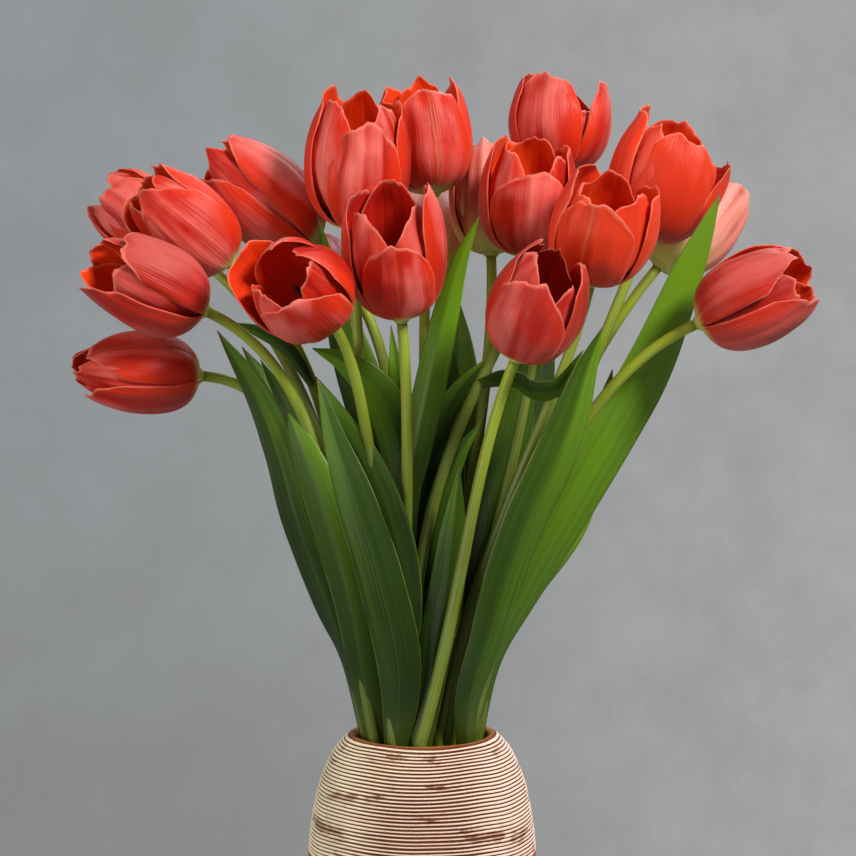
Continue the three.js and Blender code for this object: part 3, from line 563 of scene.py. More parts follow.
def petal_group(name):
    """Colour, roughness and relief of a petal, from its own length, width and two faces."""
    tree, recipe, start, end = new_group(
        name,
        {"Outer": (0.6, 0.05, 0.03, 1.0), "Blush": (0.8, 0.2, 0.2, 1.0),
         "Inner": (0.8, 0.04, 0.01, 1.0), "Claw": (0.6, 0.6, 0.15, 1.0), "Claw Reach": 0.14},
        {"Colour": "Color", "Roughness": "Float", "Height": "Float"})
    across, along = recipe.uv()
    rim = recipe.off_middle(across)
    seed = recipe.attribute("seed")
    relief = recipe.attribute("relief")
    tone_and_shading = recipe.attribute("tone_and_shading")
    fine = streaks(recipe, 46.0, 1.1, seed)
    broad = streaks(recipe, 5.0, 1.6, recipe.plus(seed, 3.0))
    cloud = patches(recipe, 55.0, 0.36, 0.66)
    # Pale dusting on the outer face, heavier on raised parts: partly real dusting, partly a painted sheen
    # where the raised parts catch the light.
    dust_and_sheen = recipe.plus(
        recipe.times(recipe.plus(broad, cloud), 0.31),
        recipe.times(fine, 0.12),
        recipe.ease(relief, -0.9, 1.1, -0.50, 0.50),
        recipe.ease(rim, 0.25, 1.0, 0.10, -0.60),
        recipe.ease(tone_and_shading, -1.0, 1.0, 0.10, -0.25),
    )
    dust_and_sheen = recipe.node("Clamp", {"Value": dust_and_sheen}).outputs[0]
    midrib = recipe.times(recipe.ease(rim, 0.06, 0.0), recipe.ease(seed, 0.45, 1.0, 0.0, 0.14))
    outer = recipe.layers(
        start["Outer"],
        (dust_and_sheen, start["Blush"]),
        # Painted shade: darker red in the creases, where the relief sinks.
        (recipe.ease(relief, -0.1, -1.1, 0.0, 0.6), CREASE_SHADE_RED),
        # Orange-red margins: partly their own colour, partly a painted glow of light shining through them.
        (recipe.ease(rim, 0.4, 1.0, 0.0, 0.65), MARGIN_RED_AND_GLOW),
        # Own tint and painted light and shade: orange over blooms whose tone is above nought, crimson
        # below.
        (recipe.ease(tone_and_shading, 0.0, 1.0, 0.0, 0.7), ORANGE),
        (recipe.ease(tone_and_shading, 0.0, -1.0, 0.0, 0.55), CRIMSON),
        (midrib, start["Claw"]),
    )
    inner = recipe.layers(
        start["Inner"],
        # Darker flame inside where the inner tone is below nought: own tint and painted shade.
        (recipe.ease(tone_and_shading, 0.0, -1.0), DARK_FLAME),
        (recipe.ease(along, 0.62, 0.1, 0.0, 0.80), THROAT_RED),
        (recipe.times(fine, 0.07), FIERY_VEIN),
    )
    # A thin hem, red low down and pink near the tip: partly the petal's own pale rim, partly a painted rim
    # highlight.
    brink = recipe.maths("MAXIMUM", rim, recipe.plus(along, 0.01))
    edge = recipe.ease(recipe.plus(brink, recipe.times(cloud, 0.03)), 0.965, 1.0, 0.0, 0.42)
    hem_and_highlight = recipe.mix(recipe.ease(along, 0.6, 0.92), HEM_RED, HEM_PINK_HIGHLIGHT)
    ragged = recipe.plus(along, recipe.times(fine, -0.07))
    body = recipe.layers(
        outer,
        (recipe.attribute("inside"), inner),
        (edge, hem_and_highlight),
        (recipe.ease(ragged, start["Claw Reach"], 0.0), start["Claw"]),
    )
    crinkle = recipe.plus(recipe.times(cloud, 0.8), recipe.times(broad, 1.2))
    recipe.feed(end["Colour"], body)
    recipe.feed(end["Roughness"], recipe.ease(dust_and_sheen, 0.0, 1.0, 0.40, 0.55))
    recipe.feed(end["Height"], recipe.plus(fine, crinkle))
    return tree


def petal_material(name, outer, blush, inner, claw, claw_reach):
    made, recipe, shader = new_material(name)
    petal = use_group(recipe, group_once("Petal tint", petal_group), Outer=outer, Blush=blush,
                      Inner=inner, Claw=claw, Claw_Reach=claw_reach)
    recipe.feed(shader.inputs["Base Color"], petal["Colour"])
    recipe.feed(shader.inputs["Roughness"], petal["Roughness"])
    set_plain(shader, {
        "Subsurface Weight": 0.12,
        "Subsurface Radius": (1.0, 0.25, 0.15),
        "Subsurface Scale": 0.003,
        "Sheen Weight": 0.08,
        "Sheen Roughness": 0.4,
        "Sheen Tint": (1.0, 0.62, 0.62, 1.0),
        "Specular IOR Level": 0.26,
    })
    bump(recipe, shader, petal["Height"], 0.4, 0.0005)
    return made


def anther_material():
    made, recipe, shader = new_material("anther")
    grain = patches(recipe, 1400.0, 0.4, 0.6)
    recipe.feed(shader.inputs["Base Color"], recipe.mix(grain, ANTHER_BLACK, ANTHER_VIOLET))
    set_plain(shader, {"Roughness": 0.75})
    bump(recipe, shader, grain, 0.4, 0.0002)
    return made


def pistil_material():
    made, recipe, shader = new_material("pistil")
    grain = patches(recipe, 500.0, 0.35, 0.65)
    recipe.feed(shader.inputs["Base Color"], recipe.mix(grain, PISTIL_GREEN, PISTIL_CREAM))
    set_plain(shader, {"Roughness": 0.5})
    return made


def leaf_material(leaf):
    made, recipe, shader = new_material("tulip_leaf")
    deep, bright, haze_and_sheen = tuple(leaf.deep), tuple(leaf.bright), tuple(leaf.haze_and_sheen)
    across, along = recipe.uv()
    rim = recipe.off_middle(across)
    seed = recipe.attribute("seed")
    tone_and_shading = recipe.attribute("tone_and_shading")
    fine = streaks(recipe, 60.0, 1.2, seed)
    broad = streaks(recipe, 11.0, 1.8, recipe.plus(seed, 5.0))
    cloud = patches(recipe, 26.0, 0.38, 0.66)
    # Brighter green on the veins and the upper part, and painted light where the leaf's tone is high.
    lively = recipe.plus(
        recipe.times(broad, 0.26),
        recipe.times(seed, 0.12),
        recipe.ease(along, 0.42, 1.0, 0.0, 0.5),
        recipe.times(tone_and_shading, 0.6),
    )
    lively = recipe.times(lively, recipe.ease(along, 0.05, 0.6, 0.35, 1.0))
    # Waxy bloom, more on the outer face: partly real, partly a painted sheen where the leaf catches the
    # light.
    waxy_and_sheen = recipe.times(cloud, recipe.ease(recipe.attribute("inside"), 0.0, 1.0, 0.34, 0.12))
    # One half of the blade is darker, as painted shade: which half, the leaf's seed says, and how dark, its
    # tone.
    turned = recipe.maths("GREATER_THAN", seed, 0.5)
    half = recipe.maths("ABSOLUTE", recipe.maths("SUBTRACT", turned, recipe.ease(across, 0.40, 0.60)))
    shaded = recipe.times(half, recipe.ease(tone_and_shading, 1.0, 0.6, 0.0, 0.62))
    edge = recipe.times(recipe.ease(rim, 0.95, 0.99, 0.0, 0.6), cloud)
    # The heart of the bunch, near its axis and low down, is painted dark as shade.
    spot_x, spot_y, spot_z = recipe.parts(recipe.place())
    away = recipe.length(recipe.vector(spot_x, spot_y, 0.0))
    heart_shade = recipe.times(recipe.ease(away, 0.050, 0.018), recipe.ease(spot_z, 0.37, 0.25, 0.0, 0.8))
    tip = recipe.ease(recipe.plus(along, recipe.times(cloud, 0.01)), 0.975, 1.0)
    body = recipe.layers(
        deep,
        (lively, bright),
        (recipe.times(fine, 0.14), bright),
        (waxy_and_sheen, haze_and_sheen),
        (shaded, deep),
        (recipe.ease(rim, 0.045, 0.0, 0.0, 0.16), MIDRIB_GREEN),
        (recipe.ease(along, 0.16, 0.0, 0.0, 0.5), YOUNG_GREEN),
        (edge, LEAF_EDGE),
        (heart_shade, HEART_SHADE_GREEN),
        (tip, DRY_TIP),
    )
    recipe.feed(shader.inputs["Base Color"], body)
    recipe.feed(shader.inputs["Roughness"], recipe.ease(waxy_and_sheen, 0.0, 0.6, 0.34, 0.46))
    set_plain(shader, {"Specular IOR Level": 0.28})
    bump(recipe, shader, recipe.plus(fine, recipe.times(broad, 0.6)), 0.25, 0.0003)
    return made


def stem_material(stem):
    made, recipe, shader = new_material("tulip_stem")
    _, along = recipe.uv()
    seed = recipe.attribute("seed")
    fine = streaks(recipe, 24.0, 3.0, seed)
    cloud = patches(recipe, 45.0, 0.35, 0.65)
    lively = recipe.plus(
        recipe.ease(along, 0.48, 1.0, 0.0, 0.75),
        recipe.times(fine, 0.25),
        recipe.times(seed, 0.28),
    )
    body = recipe.layers(
        tuple(stem.green),
        (lively, tuple(stem.lime)),
        (recipe.times(cloud, 0.2), STEM_HAZE),
    )
    recipe.feed(shader.inputs["Base Color"], body)
    recipe.feed(shader.inputs["Roughness"], recipe.ease(cloud, 0.0, 1.0, 0.34, 0.46))
    set_plain(shader, {
        "Subsurface Weight": 0.1,
        "Subsurface Radius": (0.5, 1.0, 0.2),
        "Subsurface Scale": 0.002,
    })
    bump(recipe, shader, fine, 0.3, 0.0003)
    return made


# ---------------------------------------------------------------- finishes of the vase
# The slip's left side, its stains and worn places, and the same for the grooves and the bare clay.
CREAM_SLIP = (0.98, 0.87, 0.62, 1.0)
STAINED_SLIP = (0.62, 0.36, 0.25, 1.0)
CHALKY_SLIP = (0.96, 0.88, 0.76, 1.0)
WORN_SLIP = (0.27, 0.090, 0.035, 1.0)
OCHRE_GROOVE = (0.15, 0.070, 0.022, 1.0)
RED_GROOVE = (0.085, 0.014, 0.002, 1.0)
SMEARED_GROOVE = (0.16, 0.040, 0.010, 1.0)
SANDY_CLAY = (0.52, 0.23, 0.07, 1.0)
SMEARED_CLAY = (0.20, 0.060, 0.016, 1.0)


def vase_material(vase):
    """Cream slip on the combed ridges, brown clay in the grooves, and bare clay elsewhere."""
    made, recipe, shader = new_material("combed_stoneware")
    place = recipe.place()
    squashed = recipe.node("Mapping", {"Vector": place, "Scale": (1.0, 1.0, 3.2)}).outputs[0]
    worn = recipe.ease(recipe.noise(squashed, 30.0, 4.0, 0.62), 0.56, 0.68)
    smear = recipe.ease(recipe.noise(squashed, 80.0, 3.0), 0.46, 0.72)
    grain = patches(recipe, 900.0, 0.35, 0.65)
    sideways = recipe.parts(place)[0]
    drift = recipe.plus(recipe.noise(place, 16.0, 2.0), recipe.times(sideways, 7.0))
    rosy = recipe.ease(drift, 0.16, 0.50)
    lit_flank = recipe.ease(recipe.maths("ABSOLUTE", sideways), 0.015, 0.045)
    # Brown smears stain the slip, and the middle band between the painted-lit flanks is darker.
    stained = recipe.plus(recipe.times(smear, 0.30), recipe.ease(lit_flank, 1.0, 0.0, 0.0, 0.30))
    slip = recipe.layers(
        CREAM_SLIP,
        (rosy, tuple(vase.slip)),
        (stained, STAINED_SLIP),
        (recipe.times(grain, 0.18), CHALKY_SLIP),
        (recipe.times(worn, 0.60), WORN_SLIP),
    )
    earth = recipe.layers(
        OCHRE_GROOVE,
        (rosy, RED_GROOVE),
        (recipe.times(smear, 0.35), SMEARED_GROOVE),
    )
    # The grooves show more where the slip is worn, and less on the flanks, which are painted lighter, as
    # lit flanks.
    cut = recipe.plus(recipe.attribute("groove"), recipe.times(worn, 0.25))
    cut = recipe.maths("SUBTRACT", cut, recipe.times(lit_flank, 0.34))
    combed = recipe.mix(recipe.ease(cut, 0.02, 0.26), slip, earth)
    clay = recipe.layers(
        tuple(vase.clay),
        (recipe.times(grain, 0.3), SANDY_CLAY),
        (recipe.times(smear, 0.4), SMEARED_CLAY),
    )
    recipe.feed(shader.inputs["Base Color"], recipe.mix(recipe.attribute("bare"), combed, clay))
    recipe.feed(shader.inputs["Roughness"], recipe.ease(grain, 0.0, 1.0, 0.55, 0.75))
    set_plain(shader, {"Specular IOR Level": 0.2})
    bump(recipe, shader, recipe.plus(grain, recipe.times(smear, 0.8)), 0.35, 0.0004)
    return made


def water_material():
    made, recipe, shader = new_material("clear_water")
    cloud = patches(recipe, 30.0, 0.3, 0.7)
    tint = recipe.mix(cloud, (0.80, 0.90, 0.86, 1.0), (0.88, 0.94, 0.88, 1.0))
    recipe.feed(shader.inputs["Base Color"], tint)
    set_plain(shader, {"Roughness": 0.02, "IOR": 1.333, "Transmission Weight": 1.0})
    bump(recipe, shader, cloud, 0.1, 0.0005)
    return made


def floor_material(stage):
    """Plain pale floor whose rim fades into the backdrop."""
    made, recipe, shader = new_material("pale_floor")
    cloud = patches(recipe, 3.0, 0.3, 0.7)
    paler = tuple(1.1 * part for part in stage.floor[:3]) + (1.0,)
    recipe.feed(shader.inputs["Base Color"], recipe.mix(cloud, tuple(stage.floor), paler))
    away = recipe.length(recipe.place())
    rim = stage.floor_radius
    recipe.feed(shader.inputs["Alpha"], recipe.ease(away, 0.25 * rim, 0.98 * rim, 1.0, 0.0))
    set_plain(shader, {"Roughness": 0.9})
    return made


# ---------------------------------------------------------------- modelling helpers
def new_piece(*numbers):
    """An empty bmesh with a UV map and the number attributes that its finish reads."""
    piece = bmesh.new()
    piece.loops.layers.uv.new("UVMap")
    for name in numbers:
        piece.verts.layers.float.new(name)
    piece.verts.layers.float_vector.new("lift")
    return piece


def finish_piece(piece, name, node, materials):
    """Turns a bmesh in place into an object that stands for its CAD node."""
    piece.verts.layers.float_vector.remove(piece.verts.layers.float_vector["lift"])
    mesh = bpy.data.meshes.new(name)
    piece.to_mesh(mesh)
    piece.free()
    made = bpy.data.objects.new(name, mesh)
    bpy.context.scene.collection.objects.link(made)
    for material in materials:
        mesh.materials.append(material)
    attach(made, "root")
    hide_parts(node)


def grid_on(piece, across, along, material):
    """A flat grid in the piece: its corners' (u, t), with u in -1..1 and t in 0..1, and its faces."""
    uv = piece.loops.layers.uv["UVMap"]
    corners = bmesh.ops.create_grid(piece, x_segments=across, y_segments=along, size=1.0)["verts"]
    places = {corner: (corner.co.x, (corner.co.y + 1) / 2) for corner in corners}
    faces = list(dict.fromkeys(face for corner in corners for face in corner.link_faces))
    for face in faces:
        face.smooth = True
        face.material_index = material
        for loop in face.loops:
            u, t = places[loop.vert]
            loop[uv].uv = ((u + 1) / 2, t)
    return places, faces


def add_blade(piece, surface, across, along, thickness, seed, material):
    """A petal or a leaf: a grid bent over surface(u, t) and thickened, thinner at its margins."""
    seeds = piece.verts.layers.float["seed"]
    inside = piece.verts.layers.float["inside"]
    reliefs = piece.verts.layers.float["relief"]
    lift = piece.verts.layers.float_vector["lift"]
    places, faces = grid_on(piece, across, along, material)
    for corner, (u, t) in places.items():
        corner.co, corner[reliefs] = surface(u, t)
        corner[seeds] = seed
    piece.normal_update()
    for corner, (u, t) in places.items():
        margin = max(abs(u), 2 * t - 1) ** 6
        corner[lift] = corner.normal * thickness / 2 * (1 - 0.65 * margin)
    made = bmesh.ops.extrude_face_region(piece, geom=faces, use_keep_orig=True)["geom"]
    outer = [part for part in made if isinstance(part, bmesh.types.BMVert)]
    for corner in places:
        corner.co -= corner[lift]
        corner[inside] = 1.0
    for corner in outer:
        corner.co += corner[lift]
        corner[inside] = 0.0


def add_rod(piece, rings, sides, seed, material):
    """A round rod through rings of (centre, tangent, radius), closed at both ends."""
    seeds = piece.verts.layers.float["seed"]
    places, faces = grid_on(piece, sides, len(rings) - 1, material)
    frames = []
    side = rings[0][1].orthogonal().normalized()
    for centre, tangent, radius in rings:
        side = (side - tangent * side.dot(tangent)).normalized()
        frames.append((centre, side * radius, tangent.cross(side).normalized() * radius))
    for corner, (u, t) in places.items():
        centre, first, second = frames[round(t * (len(rings) - 1))]
        angle = math.pi * u
        corner.co = centre + first * math.cos(angle) + second * math.sin(angle)
        corner[seeds] = seed
    bmesh.ops.remove_doubles(piece, verts=list(places), dist=1e-4)
    rims = [edge for edge in piece.edges if edge.is_boundary]
    bmesh.ops.edgeloop_fill(piece, edges=rims, mat_nr=material, use_smooth=False)


def bezier(a, b, c, d, t):
    s = 1 - t
    return a * (s * s * s) + b * (3 * s * s * t) + c * (3 * s * t * t) + d * (t * t * t)


def bezier_slope(a, b, c, d, t):
    s = 1 - t
    return (b - a) * (3 * s * s) + (c - b) * (6 * s * t) + (d - c) * (3 * t * t)


def through_points(points, t):
    """Place and slope at t from 0 to 1 on the smooth curve that runs through the points."""
    spans = len(points) - 1
    where = min(max(t, 0.0), 1.0) * spans
    number = min(int(where), spans - 1)
    w = where - number
    p1, p2 = points[number], points[number + 1]
    p0 = points[number - 1] if number > 0 else p1 * 2 - p2
    p3 = points[number + 2] if number + 2 <= spans else p2 * 2 - p1
    v1, v2 = (p2 - p0) * 0.5, (p3 - p1) * 0.5
    a = p1 * 2 - p2 * 2 + v1 + v2
    b = p2 * 3 - p1 * 3 - v1 * 2 - v2
    place = a * w ** 3 + b * w ** 2 + v1 * w + p1
    slope = a * (3 * w * w) + b * (2 * w) + v1
    return place, slope.normalized()


# ---------------------------------------------------------------- vase
def vase_profile(vase):
    """Radius, height, groove share and bareness of each point from the foot's middle to the floor's."""
    wall = [Vector((radius, height, 0)) for radius, height in VASE_WALL]
    outline = [through_points(wall, i / 400)[0] for i in range(401)]
    plain = [(spot.x, spot.y) for spot in outline if spot.y < COMBED_FROM - 0.5]
    profile = [(*spot, 0.0, 1.0) for spot in VASE_FOOT + plain[:-6:12] + plain[-1:]]
    # The comb's cuts follow the wall's own length, six points to a ridge and its groove.
    pitch = vase.ridge_pitch / MM
    depth = vase.ridge_depth / MM
    combed = [spot for spot in outline if spot.y >= COMBED_FROM]
    run = 0.0
    due = 0.0
    for last, spot in zip(combed[:1] + combed, combed):
        run += (spot - last).length
        if run < due:
            continue
        due += pitch / 6
        share = (run / pitch) % 1.0
        cut = max(0.0, 1 - abs(share - 0.5) / 0.34)
        cut = cut * cut * (3 - 2 * cut)
        profile.append((spot.x - depth * cut, spot.y, cut, 0.0))
    return profile + VASE_LIP + [(*spot, 0.0, 1.0) for spot in VASE_INSIDE]


class TULIPS_OT_vase(bpy.types.Operator):
    """Spin the vase and comb its shoulder"""

    bl_idname = "tulips.vase"
    bl_label = "Vase"

    def execute(self, context):
        vase = context.scene.tulip_vase
        piece = new_piece("groove", "bare")
        groove = piece.verts.layers.float["groove"]
        bare = piece.verts.layers.float["bare"]
        line = []
        for radius, height, cut, plain in vase_profile(vase):
            corner = piece.verts.new((radius, 0.0, height))
            corner[groove] = cut
            corner[bare] = plain
            line.append(corner)
        edges = [piece.edges.new(pair) for pair in zip(line, line[1:])]
        bmesh.ops.spin(piece, geom=line + edges, axis=UP, cent=(0, 0, 0), steps=vase.sides,
                       angle=math.tau, use_merge=True)
        bmesh.ops.remove_doubles(piece, verts=piece.verts[:], dist=1e-4)
        waver = vase.waver / MM
        for corner in piece.verts:
            if corner[bare] < 1.0:
                around = Vector((corner.co.x, corner.co.y, corner.co.z * 0.6)) / 26
                corner.co.z += waver * noise.noise(around) * 1.4
                corner.co.xy *= 1 + 0.0025 * noise.noise(corner.co / 9)
        for face in piece.faces:
            face.smooth = True
        bmesh.ops.recalc_face_normals(piece, faces=piece.faces[:])
        bmesh.ops.scale(piece, vec=(MM, MM, MM), verts=piece.verts[:])
        finish_piece(piece, "combed_vase", "vase", [vase_material(vase)])
        return {"FINISHED"}


class TULIPS_OT_water(bpy.types.Operator):
    """Give the vase's water its clear finish"""

    bl_idname = "tulips.water"
    bl_label = "Water"

    def execute(self, context):
        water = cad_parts["water"]
        water.data.materials.clear()
        water.data.materials.append(water_material())
        return {"FINISHED"}


# ---------------------------------------------------------------- stems and leaves
# A part's number in its piece's list of materials.
STEM_SKIN, LEAF_SKIN = 0, 1


def stem_ends(tulip):
    """The four control points of a stem's upper curve, and its foot on the vase's floor."""
    neck = Vector((*tulip["neck"], LIP_HEIGHT))
    foot = Vector((neck.x * STEM_SPREAD, neck.y * STEM_SPREAD, VASE_FLOOR + 0.6))
    aim = Vector(tulip["aim"]).normalized()
    base = Vector(tulip["base"])
    away = base - neck
    lean_x, lean_y = tulip.get("lean", (away.x * 0.5, away.y * 0.5))
    lean = Vector((lean_x, lean_y, away.z)).normalized()
    reach = away.length
    end = base - aim * 0.3
    rise = tulip.get("rise", 0.42)
    curve = (neck, neck + lean * (reach * rise), end - aim * (reach * tulip.get("droop", 0.3)), end)
    return foot, curve


def stem_rings(tulip, stem):
    """Rings of a stem: straight and slightly thinner in the vase, then along its upper curve."""
    foot, curve = stem_ends(tulip)
    neck = curve[0]
    low = stem.lower_radius / MM
    high = stem.upper_radius / MM
    straight = (neck - foot).normalized()
    steps = 7
    rings = []
    for i in range(steps):
        t = i / steps
        rings.append((foot.lerp(neck, t), straight, low * (0.84 + 0.16 * t)))
    for i in range(stem.steps + 1):
        t = i / stem.steps
        swell = 1 + 0.03 * noise.noise(curve[3] * 0.1 + UP * t * 9)
        radius = (low + (high - low) * t) * swell
        rings.append((bezier(*curve, t), bezier_slope(*curve, t).normalized(), radius))
    return rings


def stem_at_height(tulip, height):
    """The point of a stem at a height, in the vase or above it."""
    foot, curve = stem_ends(tulip)
    neck = curve[0]
    if height < neck.z:
        return foot.lerp(neck, (height - foot.z) / (neck.z - foot.z))
    low, high = 0.0, 1.0
    for _ in range(20):
        middle = (low + high) / 2
        if bezier(*curve, middle).z < height:
            low = middle
        else:
            high = middle
    return bezier(*curve, low)


def leaf_width(t, widest, clasp):
    """Share of its full width that a leaf has at t."""
    rise = clasp + (1 - clasp) * math.sin(min(t / widest, 1) * math.pi / 2)
    fall = 1 if t < widest else 1 - ((t - widest) / (1 - widest)) ** 2.1
    return max(rise * fall, 0.012)


def leaf_surface(leaf, tulip, seed):
    """One leaf: gives the place at (u, t), and how far it stands out from the leaf's even fold."""
    points = [stem_at_height(tulip, leaf["start"])] + [Vector(point) for point in leaf["through"]]
    face = Vector(leaf["face"]).normalized()
    half = leaf["width"] / 2
    widest = leaf.get("widest", 0.42)
    clasp = leaf.get("clasp", 0.42)
    wave = leaf.get("wave", 0.0)

    def surface(u, t):
        centre, tangent = through_points(points, t)
        side = tangent.cross(face).normalized()
        lift = side.cross(tangent)
        uneven = 1 + 0.03 * noise.noise(Vector((t * 7, u, seed * 9)))
        reach = half * leaf_width(t, widest, clasp) * uneven
        channel = math.sqrt(u * u + 0.012) - 0.11
        fold = 1.45 * leaf["fold"] * (1 - 0.6 * t) * reach * channel
        waved = wave * reach * u * abs(u) * math.sin(3 * math.pi * t + 1)
        ripple = LEAF_RIPPLE * noise.noise(Vector((u * 0.8, t * 6, seed * 31))) * u * u
        groove = -LEAF_GROOVE * math.exp(-((u / 0.09) ** 2)) * (1 - t)
        ribs = LEAF_RIBS * math.cos(u * 34)
        place = centre + side * (reach * u) + lift * (fold + waved + ripple + groove + ribs)
        return place, ripple + groove

    return surface


class TULIPS_OT_leafy_stems(bpy.types.Operator):
    """Bend each stem from the vase's floor to its bloom and grow its leaves"""

    bl_idname = "tulips.leafy_stems"
    bl_label = "Stems and leaves"

    def execute(self, context):
        stem = context.scene.tulip_stems
        leaf = context.scene.tulip_leaves
        materials = [stem_material(stem), leaf_material(leaf)]
        for count, tulip in enumerate(TULIPS):
            name = tulip["name"]
            piece = new_piece("seed", "inside", "relief", "tone_and_shading")
            tones_and_shading = piece.verts.layers.float["tone_and_shading"]
            seed = 1.0 if "pale" in tulip else (count * SEED_STEP) % 1.0 * 0.5
            add_rod(piece, stem_rings(tulip, stem), stem.sides, seed, STEM_SKIN)
            for number, blade in enumerate(LEAVES):
                if blade["on"] == name:
                    seed = (number * LEAF_SEED_STEP) % 1.0
                    add_blade(piece, leaf_surface(blade, tulip, seed), leaf.across, leaf.along,
                              leaf.thickness / MM, seed, LEAF_SKIN)
            for corner in piece.verts:
                corner[tones_and_shading] = LEAF_TONES_AND_SHADING.get(name, 0.2)
            bmesh.ops.recalc_face_normals(piece, faces=piece.faces[:])
            bmesh.ops.scale(piece, vec=(MM, MM, MM), verts=piece.verts[:])
            finish_piece(piece, "leafy_stem_" + name, "stem_" + name, materials)
        return {"FINISHED"}


# ---------------------------------------------------------------- blooms
PETAL_SKIN, ANTHER_SKIN, PISTIL_SKIN = 0, 1, 2


def petal_fall(t, point):
    """Share of its full width that a petal still has at t; point is how sharply it ends."""
    past = max(0.0, t - PETAL_WIDEST) / (1 - PETAL_WIDEST)
    return (1 - past ** (2.8 - 0.6 * point)) ** (0.5 + 0.14 * point)


def petal_top(u, point):
    """How far up its petal the line at u runs before it meets the rounded tip."""
    share = abs(u) * petal_fall(PETAL_SHOULDER, point)
    past = (1 - share ** (1 / (0.5 + 0.14 * point))) ** (1 / (2.8 - 0.6 * point))
    return PETAL_WIDEST + (1 - PETAL_WIDEST) * past


def petal_width(t, point):
    """Half-width of a petal at t against the bloom's radius."""
    rise = 0.36 + 0.76 * math.sin(min(t / PETAL_WIDEST, 1) * math.pi / 2)
    return rise * petal_fall(min(t, PETAL_SHOULDER), point)


def petal_surface(tulip, number):
    """One petal in the bloom's own frame: even ones outside, odd ones inside their gaps.

    Gives the place at (u, t), and how far it stands out from the petal's even curve.
    """
    length, radius = tulip["size"]
    inner = number % 2
    shift, stretch, open_out, broad = tulip.get("petals", EVEN_PETALS)[number]
    turn = math.radians(tulip["turn"] + number * PETAL_STEP + shift)
    inset = inner * PETAL_WHORL_GAP
    mouth = radius * tulip["mouth"]
    seed = number * 3.7 + float(tulip["name"]) * 1.9
    point = 0.5 + 0.5 * math.sin(seed * 2.3)
    recurve = 1.4 * math.sin(seed * 1.3 + 1)
    bend = TIP_BENDS.get((tulip["name"], number), 0.0)
    outward = Vector((math.cos(turn), math.sin(turn), 0))

    def surface(u, t):
        line = 1 - (1 - t) ** 1.15
        wavy = 0.085 * noise.noise(Vector((u * 1.9, seed, 3)))
        wavy += 0.024 * noise.noise(Vector((u * 6, seed, 8)))
        along = line * petal_top(u, point) * (1 + (wavy - 0.032) * line ** 4)
        reach = along * stretch
        out = bezier(BLOOM_NECK, radius * 1.38, radius * 1.2, mouth, reach) - inset
        out += (radius * open_out + PETAL_LAP * u * (1 - along)) * along ** 2
        height = bezier(2.5 + inset, length * 0.1 + inset, length * 0.72, length, reach)
        ruffle = RUFFLE * noise.noise(Vector((u * 2.4, along * 4, seed + 21))) * max(0.0, along - 0.5)
        ragged = 1 + 0.08 * noise.noise(Vector((along * 3.5, u * 1.2, seed))) * along
        cross = max(out, 3.5) * (1 - PETAL_CURL * along)
        angle = min(radius * broad * petal_width(along, point) * ragged / cross, PETAL_WRAP) * u
        rise = math.sin(math.pi * min(along * 1.04, 1)) ** 0.6
        folds = FOLDS * noise.noise(Vector((u * 1.2, along * 1.6, seed)))
        pleats = PLEATS * noise.noise(Vector((u * 4.6, along * 1.2, seed + 5)))
        keel = -KEEL * math.exp(-((u / 0.12) ** 2))
        relief = (folds + pleats + keel) * rise + ruffle
        margin = max(0.0, max(abs(u), line ** 3) - 0.5) / 0.5
        curl = 0.1 + MARGIN_CURL * noise.noise(Vector((along * 3.2, u * 1.8, seed + 9)))
        curl *= margin ** 2 * along
        bent = (max(0.0, along - 0.55) / 0.45) ** 2
        tip = recurve * (max(0.0, along - 0.8) / 0.2) ** 2 + bend * bent
        lift = cross + relief + curl + tip
        height += 0.5 * relief * along - 0.3 * abs(bend) * bent
        side = Vector((lift * math.cos(turn + angle), lift * math.sin(turn + angle), height))
        return outward * (out - cross) + side, relief

    return surface


def add_stamens(piece, tulip):
    """Six dark anthers on their filaments round a three-lobed pistil."""
    length, radius = tulip["size"]
    seeds = piece.verts.layers.float["seed"]
    tall = length * 0.44
    for number in range(PETALS):
        angle = math.radians(number * PETAL_STEP + tulip["turn"] + 30)
        out = Vector((math.cos(angle), math.sin(angle), 0))
        foot = out * 3.2 + UP * 3.5
        top = out * (radius * 0.32) + UP * (tall * 0.66)
        slope = (top - foot).normalized()
        rings = [(foot.lerp(top, i / 4), slope, 0.8 - 0.1 * i) for i in range(5)]
        add_rod(piece, rings, 8, PLAIN_SEED, ANTHER_SKIN)
        tip = top + (slope + out * 0.15).normalized() * 6.5
        lean = UP.rotation_difference((tip - top).normalized())
        shape = Matrix.LocRotScale((top + tip) / 2, lean, Vector((1.5, 1.5, 5.0)))
        made = bmesh.ops.create_uvsphere(piece, u_segments=10, v_segments=8, radius=1.0, matrix=shape)
        shade_part(made["verts"], ANTHER_SKIN, seeds)
    pistil = [(3.5, 2.6), (tall * 0.3, 3.3), (tall * 0.6, 2.9), (tall * 0.72, 2.2)]
    add_rod(piece, [(UP * height, UP, wide) for height, wide in pistil], 10, PLAIN_SEED, PISTIL_SKIN)
    for lobe in range(3):
        angle = math.radians(lobe * 120 + tulip["turn"])
        spot = Vector((math.cos(angle) * 2.1, math.sin(angle) * 2.1, tall * 0.74))
        shape = Matrix.LocRotScale(spot, Quaternion(UP, angle), Vector((2.2, 1.3, 1.2)))
        made = bmesh.ops.create_uvsphere(piece, u_segments=10, v_segments=6, radius=1.0, matrix=shape)
        shade_part(made["verts"], PISTIL_SKIN, seeds)


def shade_part(corners, material, seeds):
    for corner in corners:
        corner[seeds] = PLAIN_SEED
        for face in corner.link_faces:
            face.material_index = material
            face.smooth = True


